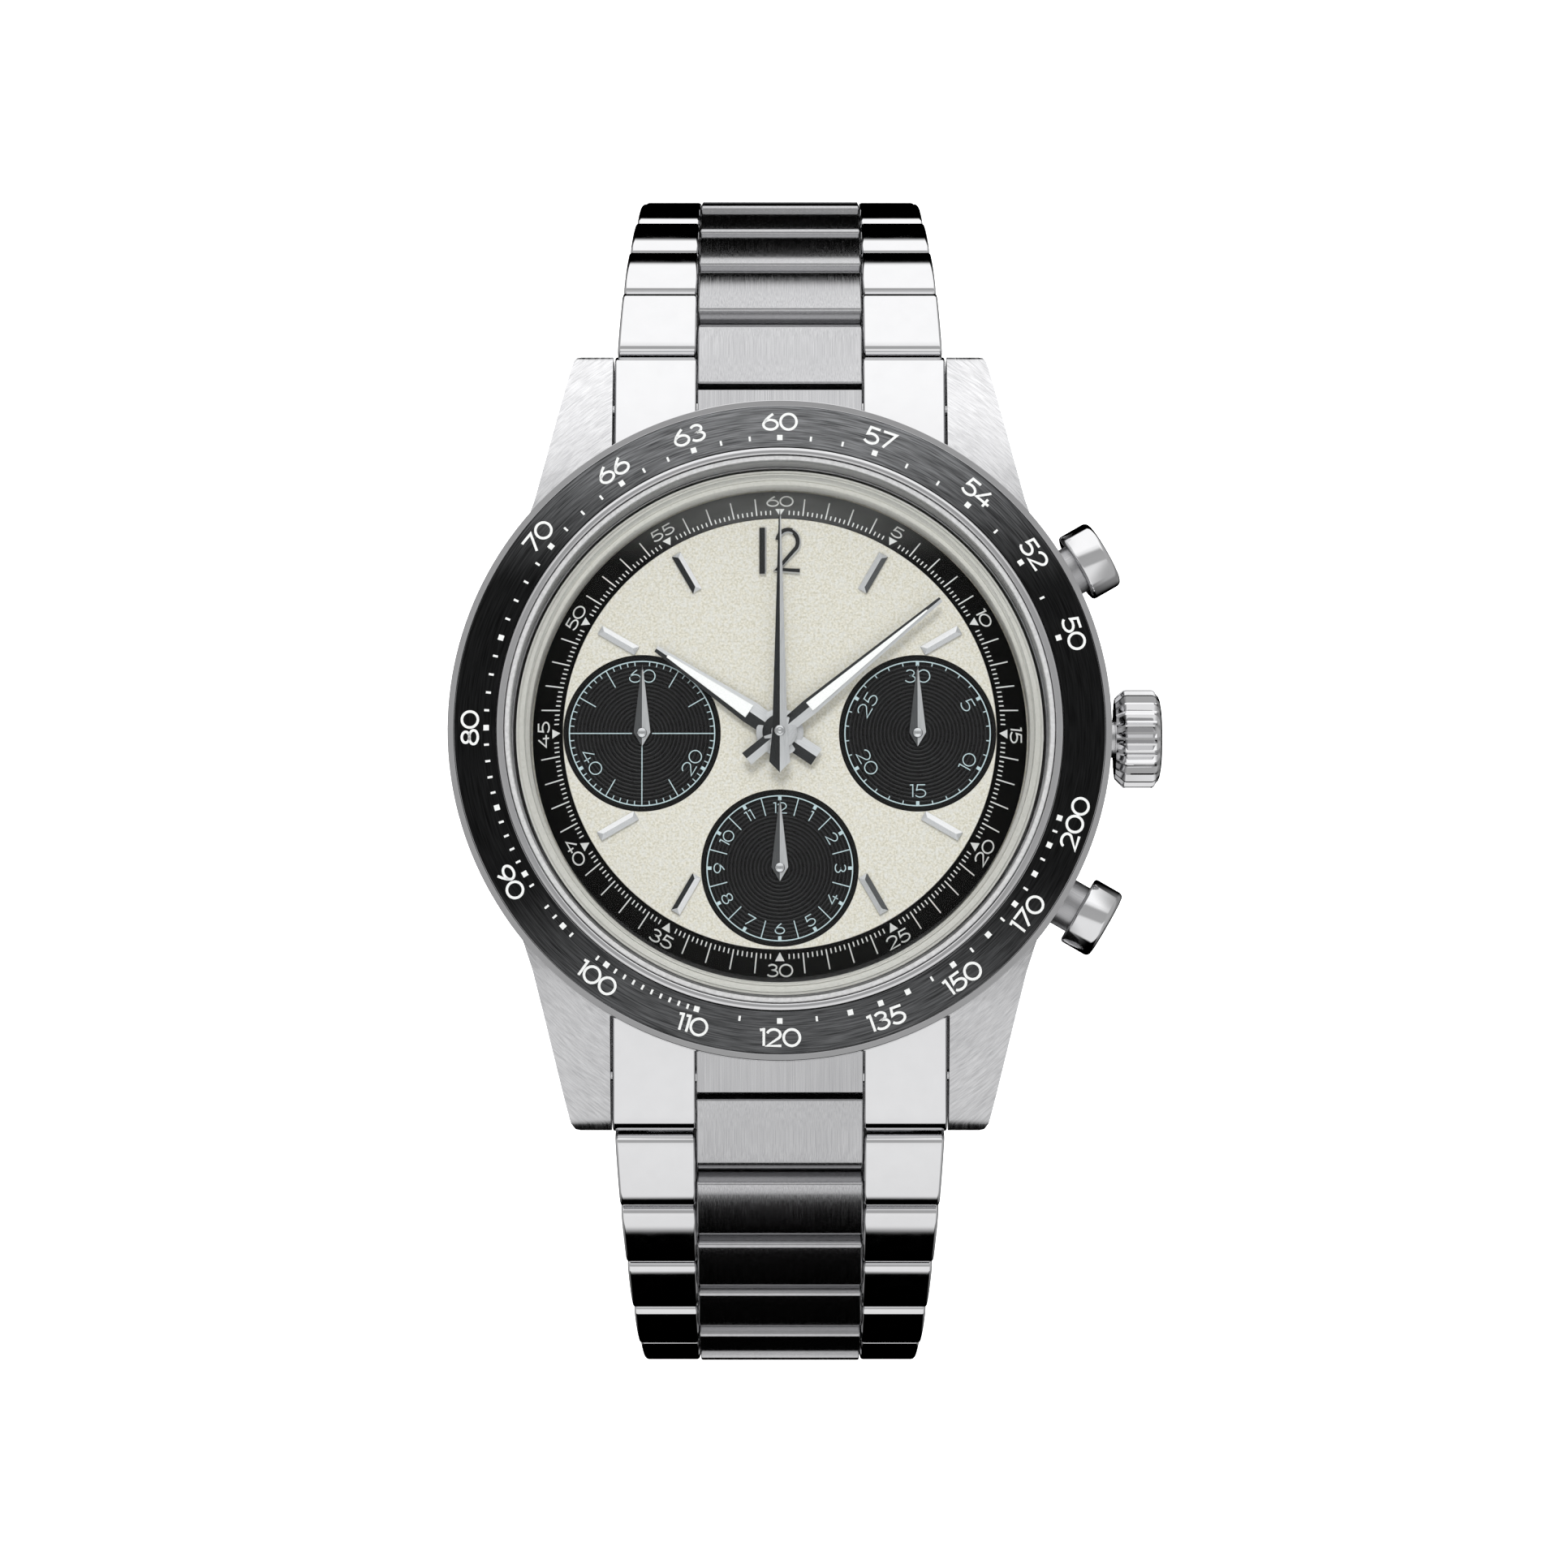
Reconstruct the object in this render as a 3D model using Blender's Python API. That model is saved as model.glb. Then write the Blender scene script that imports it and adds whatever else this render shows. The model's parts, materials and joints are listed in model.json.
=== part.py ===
"""Chronograph wristwatch: case, dial work, simplified movement, crown, pushers and link bracelet.

Frame: the origin is the centre of the case back's flat outer face, +Z leaves through the dial,
+Y points to 12 o'clock and +X to the crown. Sizes below are in millimetres and angles in degrees.
"""
import math

import bmesh
import bpy
from mathutils import Matrix, Vector

MM = 0.001

# Case and bezel
CASE_R, CASE_Z0, CASE_Z1 = 19.2, 1.3, 8.0
CAVITY_R, BACK_SEAT_R, BACK_SEAT_Z = 15.9, 17.6, 2.1
BEZEL_R, BEZEL_Z0, BEZEL_Z1 = 19.75, 8.05, 10.35
INSERT_R0, INSERT_R1, INSERT_Z0 = 16.88, 19.38, 9.9
LUG_IN, LUG_TIP_OUT, LUG_TIP_Y = 10.15, 12.5, 23.5
CROWN_Z = 4.6
PUSHER_ANGLE = 30.0

# Crystal and dial
CRYSTAL_R, CRYSTAL_WALL, CRYSTAL_TOP = 16.0, 0.8, 13.2
DIAL_R, DIAL_Z0, DIAL_Z1 = 15.6, 7.1, 7.6
TRACK_R0, TRACK_R1 = 13.0, 14.85
TRACK_Z = 7.62
TRACK_SLOPE = 0.8
TRACK_THICK = 0.12
DIAL_RIM_Z = 5.95
SUBDIAL_R, SUBDIAL_DEPTH = 4.7, 0.16
SUBDIALS = {"running": (-8.25, 0.0), "minutes": (8.25, 0.0), "hours": (0.0, -8.1)}
BATON_R0, BATON_R1, BATON_W = 9.9, 12.45, 0.6

# Hands, at 10:08
HOUR_ANGLE, MINUTE_ANGLE = 304.2, 50.4

# Bracelet
PITCH, LINK_R, LINK_GAP = 5.0, 1.2, 0.1
CENTRE_HALF, SIDE_GAP = 5.0, 0.06
PIN_R, BORE_R = 0.5, 0.56
PIN_Y, PIN_Z, END_ANGLE = 22.4, 3.2, 12.0
LINK_ANGLES = (27, 48, 57, 64, 78, 94, 111, 128, 145, 162)
BAR_S, BAR_T = -2.2, -0.1

# Clasp
CLASP_HALF, BLADE_HALF, HINGE_R = 9.0, 4.8, 0.75
HINGE_6_Y, HINGE_12_Y = -16.0, 17.0

SEG, FINE = 48, 64


def clear_scene():
    for obj in list(bpy.data.objects):
        bpy.data.objects.remove(obj, do_unlink=True)


def material(name, colour, metallic, roughness, alpha=1.0):
    mat = bpy.data.materials.new(name)
    mat.use_nodes = True
    bsdf = mat.node_tree.nodes["Principled BSDF"]
    bsdf.inputs["Base Color"].default_value = (*colour, 1.0)
    bsdf.inputs["Metallic"].default_value = metallic
    bsdf.inputs["Roughness"].default_value = roughness
    bsdf.inputs["Alpha"].default_value = alpha
    return mat


def mesh_from(bm):
    bmesh.ops.recalc_face_normals(bm, faces=bm.faces)
    mesh = bpy.data.meshes.new("solid")
    bm.to_mesh(mesh)
    bm.free()
    return mesh


def rings_to_mesh(rings, closed):
    """Joins rings of points; closed makes a tube of them, otherwise both ends are capped."""
    bm = bmesh.new()
    loops = [[bm.verts.new(p) for p in ring] for ring in rings]
    pairs = list(zip(loops, loops[1:]))
    if closed:
        pairs.append((loops[-1], loops[0]))
    for a, b in pairs:
        for i in range(len(a)):
            j = (i + 1) % len(a)
            bm.faces.new((a[i], a[j], b[j], b[i]))
    if not closed:
        bm.faces.new(loops[0])
        bm.faces.new(loops[-1])
    return mesh_from(bm)


def circle(radius, z, segments, root=None):
    """A ring of points; with a root radius, every second point lies on it."""
    points = []
    for i in range(segments):
        r = radius if root is None or i % 2 == 0 else root
        a = 2 * math.pi * i / segments
        points.append((r * math.cos(a), r * math.sin(a), z))
    return points


def lathe(profile, segments=SEG):
    """A closed (radius, z) profile off the axis turned about Z."""
    return rings_to_mesh([circle(r, z, segments) for r, z in profile], True)


def turned(profile, segments=SEG):
    """A solid turned about Z: the (radius, z) profile runs from one flat end to the other."""
    return rings_to_mesh([circle(r, z, segments) for r, z in profile], False)


def prism(points, depth0, depth1, axis="z"):
    """A polygon extruded from depth0 to depth1: in XY along z, or in YZ along x."""
    def place(u, v, d):
        return (d, u, v) if axis == "x" else (u, v, d)
    rings = [[place(u, v, d) for u, v in points] for d in (depth0, depth1)]
    return rings_to_mesh(rings, False)


def box(x0, x1, y0, y1, z0, z1):
    return prism([(x0, y0), (x1, y0), (x1, y1), (x0, y1)], z0, z1)


def cylinder_x(radius, x0, x1, y, z, segments=16):
    points = [(y + radius * math.cos(2 * math.pi * i / segments),
               z + radius * math.sin(2 * math.pi * i / segments)) for i in range(segments)]
    return prism(points, x0, x1, "x")


def moved(mesh, matrix):
    mesh.transform(matrix)
    return mesh


def spin_z(degrees):
    return Matrix.Rotation(math.radians(degrees), 4, "Z")


def to_x_axis():
    """Turns a part made along Z so that it points along +X."""
    return Matrix.Rotation(math.radians(90), 4, "Y")


def combine(base, other, operation):
    """One exact Boolean; both meshes are used up."""
    target = bpy.data.objects.new("target", base)
    tool = bpy.data.objects.new("tool", other)
    for obj in (target, tool):
        bpy.context.scene.collection.objects.link(obj)
    mod = target.modifiers.new("cut", "BOOLEAN")
    mod.object = tool
    mod.operation = operation
    mod.solver = "EXACT"
    graph = bpy.context.evaluated_depsgraph_get()
    result = bpy.data.meshes.new_from_object(target.evaluated_get(graph))
    bpy.data.objects.remove(target)
    bpy.data.objects.remove(tool)
    return result


def union(base, *others):
    for other in others:
        base = combine(base, other, "UNION")
    return base


def cut(base, *others):
    for other in others:
        base = combine(base, other, "DIFFERENCE")
    return base


def node(name, mesh, mat, origin=(0, 0, 0), matrix=None, smooth=True):
    """Puts a mesh made in millimetres about `origin` into the scene in metres."""
    mesh.name = name
    mesh.transform(Matrix.Translation(-Vector(origin)))
    if matrix is not None:
        mesh.transform(matrix.inverted())
    mesh.transform(Matrix.Scale(MM, 4))
    mesh.materials.clear()
    mesh.materials.append(mat)
    if smooth:
        for face in mesh.polygons:
            face.use_smooth = True
        mesh.set_sharp_from_angle(angle=math.radians(32))
    obj = bpy.data.objects.new(name, mesh)
    frame = Matrix.Translation(Vector(origin) * MM)
    obj.matrix_world = frame @ matrix if matrix is not None else frame
    bpy.context.scene.collection.objects.link(obj)
    return obj


def arc(cx, cy, radius, start, stop, steps):
    points = []
    for i in range(steps + 1):
        a = math.radians(start + (stop - start) * i / steps)
        points.append((cx + radius * math.cos(a), cy + radius * math.sin(a)))
    return points


# ---------------------------------------------------------------- case

def lug_solid(sign_x, sign_y):
    plan = [(LUG_IN, 9.0), (LUG_IN, LUG_TIP_Y - 0.3), (LUG_IN + 0.3, LUG_TIP_Y),
            (LUG_TIP_OUT - 0.4, LUG_TIP_Y), (LUG_TIP_OUT, LUG_TIP_Y - 0.4),
            (14.8, 14.0), (15.85, 11.1), (16.9, 8.7), (15.0, 7.0), (12.0, 7.0)]
    side = [(6.0, 7.9), (12.0, 7.6), (16.0, 6.95), (19.5, 5.95), (22.0, 5.0), (23.2, 4.4),
            (23.6, 3.9), (23.6, 1.5), (23.1, 0.9), (21.5, 0.6), (18.0, 0.9), (14.0, 1.5), (6.0, 1.6)]
    lug = prism(plan, 0.0, 9.0)
    lug = combine(lug, prism(side, 5.0, 20.0, "x"), "INTERSECT")
    lug = cut(lug, turned([(17.9, -1.0), (17.9, 9.0)], FINE))
    bar_y, bar_z = bar_centre()
    lug = cut(lug, cylinder_x(0.45, LUG_IN - 1.0, LUG_IN + 1.1, bar_y, bar_z, 12))
    return moved(lug, Matrix.Diagonal((sign_x, sign_y, 1, 1)))


def fix_mirror(mesh):
    """A mirrored mesh gets its normals turned out again."""
    bm = bmesh.new()
    bm.from_mesh(mesh)
    bmesh.ops.recalc_face_normals(bm, faces=bm.faces)
    bm.to_mesh(mesh)
    bm.free()
    return mesh


def radial_tool(radius, r0, r1, angle, segments=20):
    """A round bar along a spoke of the case at crown height."""
    bar = moved(turned([(radius, r0), (radius, r1)], segments), to_x_axis())
    return moved(bar, Matrix.Translation((0, 0, CROWN_Z)) @ spin_z(angle))


def build_case(mats):
    ring = lathe([
        (BACK_SEAT_R, CASE_Z0), (18.5, CASE_Z0), (CASE_R, 2.1), (CASE_R, 7.5), (18.8, CASE_Z1),
        (15.95, CASE_Z1), (CAVITY_R, 7.7), (CAVITY_R, BACK_SEAT_Z), (BACK_SEAT_R, BACK_SEAT_Z)], FINE)
    case = ring
    for sx in (1, -1):
        for sy in (1, -1):
            case = union(case, fix_mirror(lug_solid(sx, sy)))
    case = union(case, radial_tool(1.15, 18.0, 20.9, 0))
    case = cut(case, radial_tool(0.62, 15.0, 22.0, 0))
    for angle in (PUSHER_ANGLE, -PUSHER_ANGLE):
        case = cut(case, radial_tool(1.56, 16.6, 22.0, angle), radial_tool(0.66, 15.0, 18.0, angle))
    node("mid_case", case, mats["steel_brushed"])

    node("case_back", turned([
        (14.0, 0.0), (17.1, 0.75), (17.5, 1.3), (17.5, 2.05), (16.85, 2.05), (16.85, 1.6),
        (16.15, 1.6), (16.15, 2.05), (15.8, 2.05), (15.8, 2.75), (15.0, 2.75), (14.6, 1.5)]),
        mats["steel_back"])
    node("case_back_gasket", lathe([
        (16.2, 1.64), (16.8, 1.64), (16.8, 2.02), (16.2, 2.02)]), mats["rubber"])
    node("bezel_ring", lathe([
        (16.4, BEZEL_Z0), (19.2, BEZEL_Z0), (BEZEL_R, 8.7), (BEZEL_R, 9.6), (19.62, 10.05),
        (19.44, 10.3), (19.44, 9.85), (16.83, 9.85), (16.83, 10.62), (16.4, 10.72)], FINE),
        mats["steel_bezel"])
    node("tachymeter_insert", lathe([
        (INSERT_R0, INSERT_Z0), (INSERT_R1, INSERT_Z0), (INSERT_R1, 10.24), (INSERT_R0, 10.56)], FINE),
        mats["insert_black"])


# ---------------------------------------------------------------- crystal and dial

def build_crystal(mats):
    r0, r1 = CRYSTAL_R - CRYSTAL_WALL, CRYSTAL_R
    outer = [(r1, 8.45), (r1, 11.3), (15.75, 11.75), (15.2, 12.1), (13.5, 12.5),
             (10.5, 12.9), (7.0, 13.1), (3.0, CRYSTAL_TOP)]
    inner = [(3.0, 12.1), (7.0, 12.0), (10.5, 11.8), (13.5, 11.4), (14.8, 11.1), (r0, 10.7), (r0, 8.45)]
    node("crystal", cap_shell(outer, inner), mats["glass"])
    node("crystal_gasket", lathe([
        (16.05, 8.15), (16.35, 8.15), (16.35, 10.66), (16.05, 10.66)]), mats["gasket"])


def cap_shell(outer, inner, segments=SEG):
    """A shell like a lid: it runs up the outside to the axis and back down the inside."""
    bm = bmesh.new()
    ring_out = [[bm.verts.new(p) for p in circle(r, z, segments)] for r, z in outer]
    ring_in = [[bm.verts.new(p) for p in circle(r, z, segments)] for r, z in inner]
    for run in (ring_out, ring_in, [ring_in[-1], ring_out[0]]):
        for a, b in zip(run, run[1:]):
            for i in range(segments):
                j = (i + 1) % segments
                bm.faces.new((a[i], a[j], b[j], b[i]))
    bm.faces.new(ring_out[-1])
    bm.faces.new(ring_in[0])
    return mesh_from(bm)


def build_dial(mats):
    # Outside the flat middle the plate falls away as a cone, which carries the track
    dial = turned([
        (12.6, DIAL_Z0), (14.6, DIAL_RIM_Z - 0.45), (DIAL_R, DIAL_RIM_Z - 0.45), (DIAL_R, DIAL_RIM_Z),
        (TRACK_R1 + 0.03, DIAL_RIM_Z), (TRACK_R0 - 0.03, DIAL_Z1 - 0.12), (TRACK_R0 - 0.03, DIAL_Z1)])
    for x, y in SUBDIALS.values():
        sink = moved(turned([(SUBDIAL_R, DIAL_Z1 - SUBDIAL_DEPTH), (SUBDIAL_R, 9.0)], 32),
                     Matrix.Translation((x, y, 0)))
        hole = moved(turned([(0.42, 6.0), (0.42, 9.0)], 16), Matrix.Translation((x, y, 0)))
        dial = cut(dial, sink, hole)
    dial = cut(dial, turned([(1.1, 6.0), (1.1, 9.0)], 24))
    for hour in (1, 2, 4, 5, 7, 8, 10, 11):
        baton = box(-BATON_W / 2, BATON_W / 2, BATON_R0, BATON_R1, DIAL_Z1 - 0.1, DIAL_Z1 + 0.25)
        dial = union(dial, moved(baton, spin_z(-30 * hour)))
    one = box(-1.2, -0.82, 9.6, 12.4, DIAL_Z1 - 0.1, DIAL_Z1 + 0.25)
    two = [(-0.3, 9.6), (1.25, 9.6), (1.25, 9.97), (0.3, 9.97), (1.15, 10.9), (1.25, 11.35),
           (1.2, 12.0), (0.9, 12.32), (0.5, 12.4), (0.05, 12.28), (-0.25, 11.9), (-0.32, 11.5),
           (0.05, 11.5), (0.12, 11.8), (0.3, 12.0), (0.5, 12.04), (0.78, 11.95), (0.87, 11.7),
           (0.87, 11.4), (0.8, 11.1), (-0.3, 9.95)]
    dial = union(dial, one, prism(two, DIAL_Z1 - 0.1, DIAL_Z1 + 0.25))
    node("dial_plate", dial, mats["dial"])
    track_low = TRACK_Z - TRACK_SLOPE * (TRACK_R1 - TRACK_R0)
    node("minute_track_ring", lathe([
        (TRACK_R0, TRACK_Z - TRACK_THICK), (TRACK_R1, track_low - TRACK_THICK), (TRACK_R1, track_low),
        (TRACK_R0, TRACK_Z)]), mats["track"])
    node("rehaut_ring", lathe([
        (14.95, 6.0), (15.75, 6.0), (15.75, 8.4), (15.38, 8.4)]), mats["rehaut"])


# ---------------------------------------------------------------- movement

def wheel(radius, z_rim, z0, z1, arbor=0.28, rim=0.25, bore=None, segments=24):
    """A wheel on its arbor or, with a bore, on its pipe."""
    if bore is None:
        return turned([(arbor, z0), (arbor, z_rim), (radius, z_rim), (radius, z_rim + rim),
                       (arbor, z_rim + rim), (arbor, z1)], segments)
    return lathe([(bore, z0), (arbor, z0), (arbor, z_rim), (radius, z_rim),
                  (radius, z_rim + rim), (arbor, z_rim + rim), (arbor, z1), (bore, z1)], segments)


def build_movement(mats):
    ring = lathe([(13.3, 2.9), (15.75, 2.9), (15.75, 5.4), (13.3, 5.4)])
    for angle in (0, PUSHER_ANGLE, -PUSHER_ANGLE):
        ring = cut(ring, radial_tool(0.66, 12.0, 17.0, angle, 16))
    node("movement_ring", ring, mats["ring"])

    plate = turned([(13.1, 5.5), (13.1, 6.2)])
    plate = cut(plate, turned([(0.4, 5.0), (0.4, 7.0)], 16))
    for x, y in SUBDIALS.values():
        plate = cut(plate, moved(turned([(0.4, 5.0), (0.4, 7.0)], 16), Matrix.Translation((x, y, 0))))
    node("main_plate", plate, mats["brass"])

    outline = arc(0, 0, 12.9, 20, 200, 18) + [(-6.0, -4.5), (3.0, -4.0), (6.0, -1.0)]
    node("train_bridge", prism(outline, 2.9, 3.6), mats["bridge"], smooth=False)

    spots = {"barrel": (-4.2, 7.6), "balance_wheel": (5.6, -7.6)}
    bx, by = spots["barrel"]
    drum = turned([(0.5, 3.7), (0.5, 3.85), (4.0, 3.85), (4.0, 4.95), (0.5, 4.95), (0.5, 5.4)], 36)
    node("barrel", moved(drum, Matrix.Translation((bx, by, 0))), mats["brass_wheel"], (bx, by, 4.4))

    rim = lathe([(3.0, 3.9), (3.5, 3.9), (3.5, 4.25), (3.0, 4.25)], 36)
    rim = union(rim, box(-3.2, 3.2, -0.22, 0.22, 3.95, 4.2), turned([(0.3, 3.7), (0.3, 5.3)], 16))
    bx, by = spots["balance_wheel"]
    node("balance_wheel", moved(rim, Matrix.Translation((bx, by, 0))), mats["balance"], (bx, by, 4.1))

    node("hour_wheel", wheel(3.2, 6.72, 6.66, 8.2, arbor=1.0, rim=0.24, bore=0.68), mats["hour_wheel"],
         (0, 0, 6.8))
    node("center_wheel", wheel(4.0, 6.3, 6.26, 8.66, arbor=0.62, rim=0.24, bore=0.34),
         mats["center_wheel"], (0, 0, 6.4))
    node("chronograph_wheel", wheel(4.2, 4.5, 3.7, 9.05, arbor=0.28), mats["chrono_wheel"], (0, 0, 4.6))
    for name, key, radius in (("fourth_wheel", "running", 3.0), ("minute_counter_wheel", "minutes", 2.4),
                              ("hour_counter_wheel", "hours", 1.9)):
        x, y = SUBDIALS[key]
        part = wheel(radius, 4.5, 3.7, 7.9, arbor=0.25)
        node(name, moved(part, Matrix.Translation((x, y, 0))), mats[name], (x, y, 4.6))


# ---------------------------------------------------------------- hands

def blade(outline, z0, z1, hub_r, hole_r, hub_z0, hub_z1):
    """A flat hand with a round hub that is bored for its arbor."""
    full = outline + [(-x, y) for x, y in reversed(outline) if abs(x) > 1e-6]
    hand = prism(full, z0, z1)
    hand = union(hand, turned([(hub_r, hub_z0), (hub_r, hub_z1)], 24))
    return cut(hand, turned([(hole_r, hub_z0 - 1), (hole_r, hub_z1 + 1)], 24))


def build_hands(mats):
    hour = [(0.0, 8.95), (0.18, 8.7), (0.58, 2.2), (0.42, 1.2), (0.42, -1.2), (0.6, -2.65)]
    minute = [(0.0, 12.5), (0.14, 12.2), (0.52, 2.3), (0.36, 1.2), (0.34, -1.2), (0.45, -2.57)]
    chrono = [(0.0, 13.4), (0.06, 13.0), (0.2, 3.0), (0.34, 0.3), (0.6, -1.75), (0.0, -2.5)]
    small = [(0.0, 4.2), (0.08, 3.9), (0.5, 0.1), (0.0, -0.86)]
    part = blade(hour, 8.0, 8.22, 1.42, 1.02, 7.9, 8.3)
    node("hour_hand", moved(part, spin_z(-HOUR_ANGLE)), mats["hour_hand"], (0, 0, 8.1))
    part = blade(minute, 8.45, 8.67, 1.04, 0.65, 8.37, 8.75)
    node("minute_hand", moved(part, spin_z(-MINUTE_ANGLE)), mats["minute_hand"], (0, 0, 8.5))
    node("chronograph_seconds_hand", blade(chrono, 8.85, 9.07, 0.62, 0.3, 8.8, 9.15),
         mats["chrono_hand"], (0, 0, 9.0))
    for name, key in (("running_seconds_hand", "running"), ("minute_counter_hand", "minutes"),
                      ("hour_counter_hand", "hours")):
        x, y = SUBDIALS[key]
        part = blade(small, 7.62, 7.76, 0.5, 0.28, 7.56, 7.84)
        node(name, moved(part, Matrix.Translation((x, y, 0))), mats[name], (x, y, 7.7))


# ---------------------------------------------------------------- crown and pushers

def build_controls(mats):
    teeth = 48
    rings = [circle(1.6, 23.0, teeth), circle(2.45, 22.85, teeth), circle(2.75, 22.65, teeth, 2.6),
             circle(3.0, 22.4, teeth, 2.68), circle(3.0, 20.75, teeth, 2.68),
             circle(2.45, 20.2, teeth, 2.3), circle(1.35, 20.2, teeth), circle(1.35, 21.5, teeth)]
    cap = moved(rings_to_mesh(rings, False), Matrix.Translation((0, 0, CROWN_Z)) @ to_x_axis())
    node("crown", cap, mats["crown"], (20.2, 0, CROWN_Z))
    stem = turned([(0.4, 10.9), (0.4, 13.0), (0.55, 13.1), (0.55, 21.45)], 16)
    node("winding_stem", moved(stem, Matrix.Translation((0, 0, CROWN_Z)) @ to_x_axis()), mats["stem"],
         (20.2, 0, CROWN_Z))
    pinion = lathe([(0.46, 11.3), (0.85, 11.3), (0.85, 12.6), (0.46, 12.6)], 24)
    node("sliding_pinion", moved(pinion, Matrix.Translation((0, 0, CROWN_Z)) @ to_x_axis()),
         mats["pinion"], (11.9, 0, CROWN_Z))
    for name, angle in (("start_pusher", PUSHER_ANGLE), ("reset_pusher", -PUSHER_ANGLE)):
        body = turned([(0.58, 14.2), (0.58, 17.6), (1.5, 17.6), (1.5, 20.7), (2.05, 20.7),
                       (2.15, 20.8), (2.15, 22.5), (2.02, 22.65), (1.2, 22.74)], 24)
        body = moved(moved(body, to_x_axis()), Matrix.Translation((0, 0, CROWN_Z)) @ spin_z(angle))
        a = math.radians(angle)
        node(name, body, mats[name], (20.7 * math.cos(a), 20.7 * math.sin(a), CROWN_Z))


# ---------------------------------------------------------------- bracelet

def bar_centre():
    a = math.radians(END_ANGLE)
    y = PIN_Y + BAR_S * math.cos(a) + BAR_T * math.sin(a)
    z = PIN_Z - BAR_S * math.sin(a) + BAR_T * math.cos(a)
    return y, z


def half_width(s):
    """Half of the bracelet's width at a distance along it from the first pin."""
    if s < 30.0:
        return 10.0 - 1.75 * s / 30.0
    return 8.25 - 0.25 * (s - 30.0) / 25.0


def centre_profile(s_front):
    c, r = 0.12, LINK_R
    back = [(-r + c, r), (-r, r - c)] + arc(0, 0, r, 180, 270, 3)
    return back + [(s_front, -r), (s_front, r - c), (s_front - c, r)]


def side_profile(s_back, s_pin):
    c, r = 0.12, LINK_R
    front = arc(s_pin, 0, r, 270, 360, 3) + [(s_pin + r, r - c), (s_pin + r - c, r)]
    return front + [(s_back + c, r), (s_back, r - c), (s_back, -r)]


def side_block(profile, width, sign):
    """The outer part of a link; its outer face follows the width at each point."""
    inner = CENTRE_HALF + SIDE_GAP
    rings = [[(sign * inner, s, t) for s, t in profile],
             [(sign * width(s), s, t) for s, t in profile]]
    return rings_to_mesh(rings, False)


def link_solid(k):
    """One link about its own pin: a centre block with a bored knuckle, two side blocks, next pin."""
    s0 = PITCH * k
    r, g = LINK_R, LINK_GAP
    solid = prism(centre_profile(PITCH - r - g), -CENTRE_HALF, CENTRE_HALF, "x")
    solid = union(solid, box(-5.6, 5.6, r + g + 0.1, PITCH - r - g - 0.1, -r + 0.15, r - 0.15))
    for sign in (1, -1):
        block = side_block(side_profile(r + g, PITCH), lambda s: half_width(s0 + s), sign)
        solid = union(solid, block)
    solid = union(solid, cylinder_x(PIN_R, -5.4, 5.4, PITCH, 0, 8))
    return cut(solid, cylinder_x(BORE_R, -6, 6, 0, 0, 8))


def last_link_solid(k):
    """The link that meets the clasp cover: its centre block carries the spring bar."""
    s0 = PITCH * k
    r, g = LINK_R, LINK_GAP
    centre = [(-r + 0.12, r), (-r, r - 0.12)] + arc(0, 0, r, 180, 270, 3)
    centre = centre + arc(PITCH, 0, r, 270, 450, 10)
    solid = prism(centre, -CENTRE_HALF, CENTRE_HALF, "x")
    side = [(r + g, -r), (3.5, -r), (3.5, r - 0.12), (3.38, r), (r + g + 0.12, r), (r + g, r - 0.12)]
    solid = union(solid, box(-5.6, 5.6, r + g + 0.1, 3.4, -r + 0.15, r - 0.15))
    for sign in (1, -1):
        solid = union(solid, side_block(side, lambda s: half_width(s0 + s), sign))
    solid = cut(solid, cylinder_x(BORE_R, -6, 6, 0, 0, 8))
    return cut(solid, cylinder_x(0.65, -6, 6, PITCH, 0, 12))


def end_link_solid():
    """The fitted end link about the first pin; the case side is turned to the case."""
    r, g = LINK_R, LINK_GAP
    centre = [(-8.5, -r), (-r - g, -r), (-r - g, r - 0.12), (-r - g - 0.12, r), (-8.5, r)]
    solid = prism(centre, -CENTRE_HALF, CENTRE_HALF, "x")
    solid = union(solid, box(-5.6, 5.6, -8.4, -r - g - 0.1, -r + 0.15, r - 0.15))
    for sign in (1, -1):
        block = side_block(side_profile(-8.5, 0.0), lambda s: 10.05, sign)
        solid = union(solid, block)
    solid = union(solid, cylinder_x(PIN_R, -5.4, 5.4, 0, 0, 8))
    solid = cut(solid, cylinder_x(0.62, -11, 11, BAR_S, BAR_T, 16))
    solid = moved(solid, Matrix.Translation((0, PIN_Y, PIN_Z))
                  @ Matrix.Rotation(math.radians(-END_ANGLE), 4, "X"))
    return cut(solid, turned([(CASE_R + 0.1, -2.0), (CASE_R + 0.1, 12.0)], FINE))


def pin_positions():
    """The pins down the 12 o'clock side, one for each link and one at the clasp."""
    y, z = PIN_Y, PIN_Z
    pins = [(y, z)]
    for angle in LINK_ANGLES:
        y += PITCH * math.cos(math.radians(angle))
        z -= PITCH * math.sin(math.radians(angle))
        pins.append((y, z))
    return pins


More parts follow.
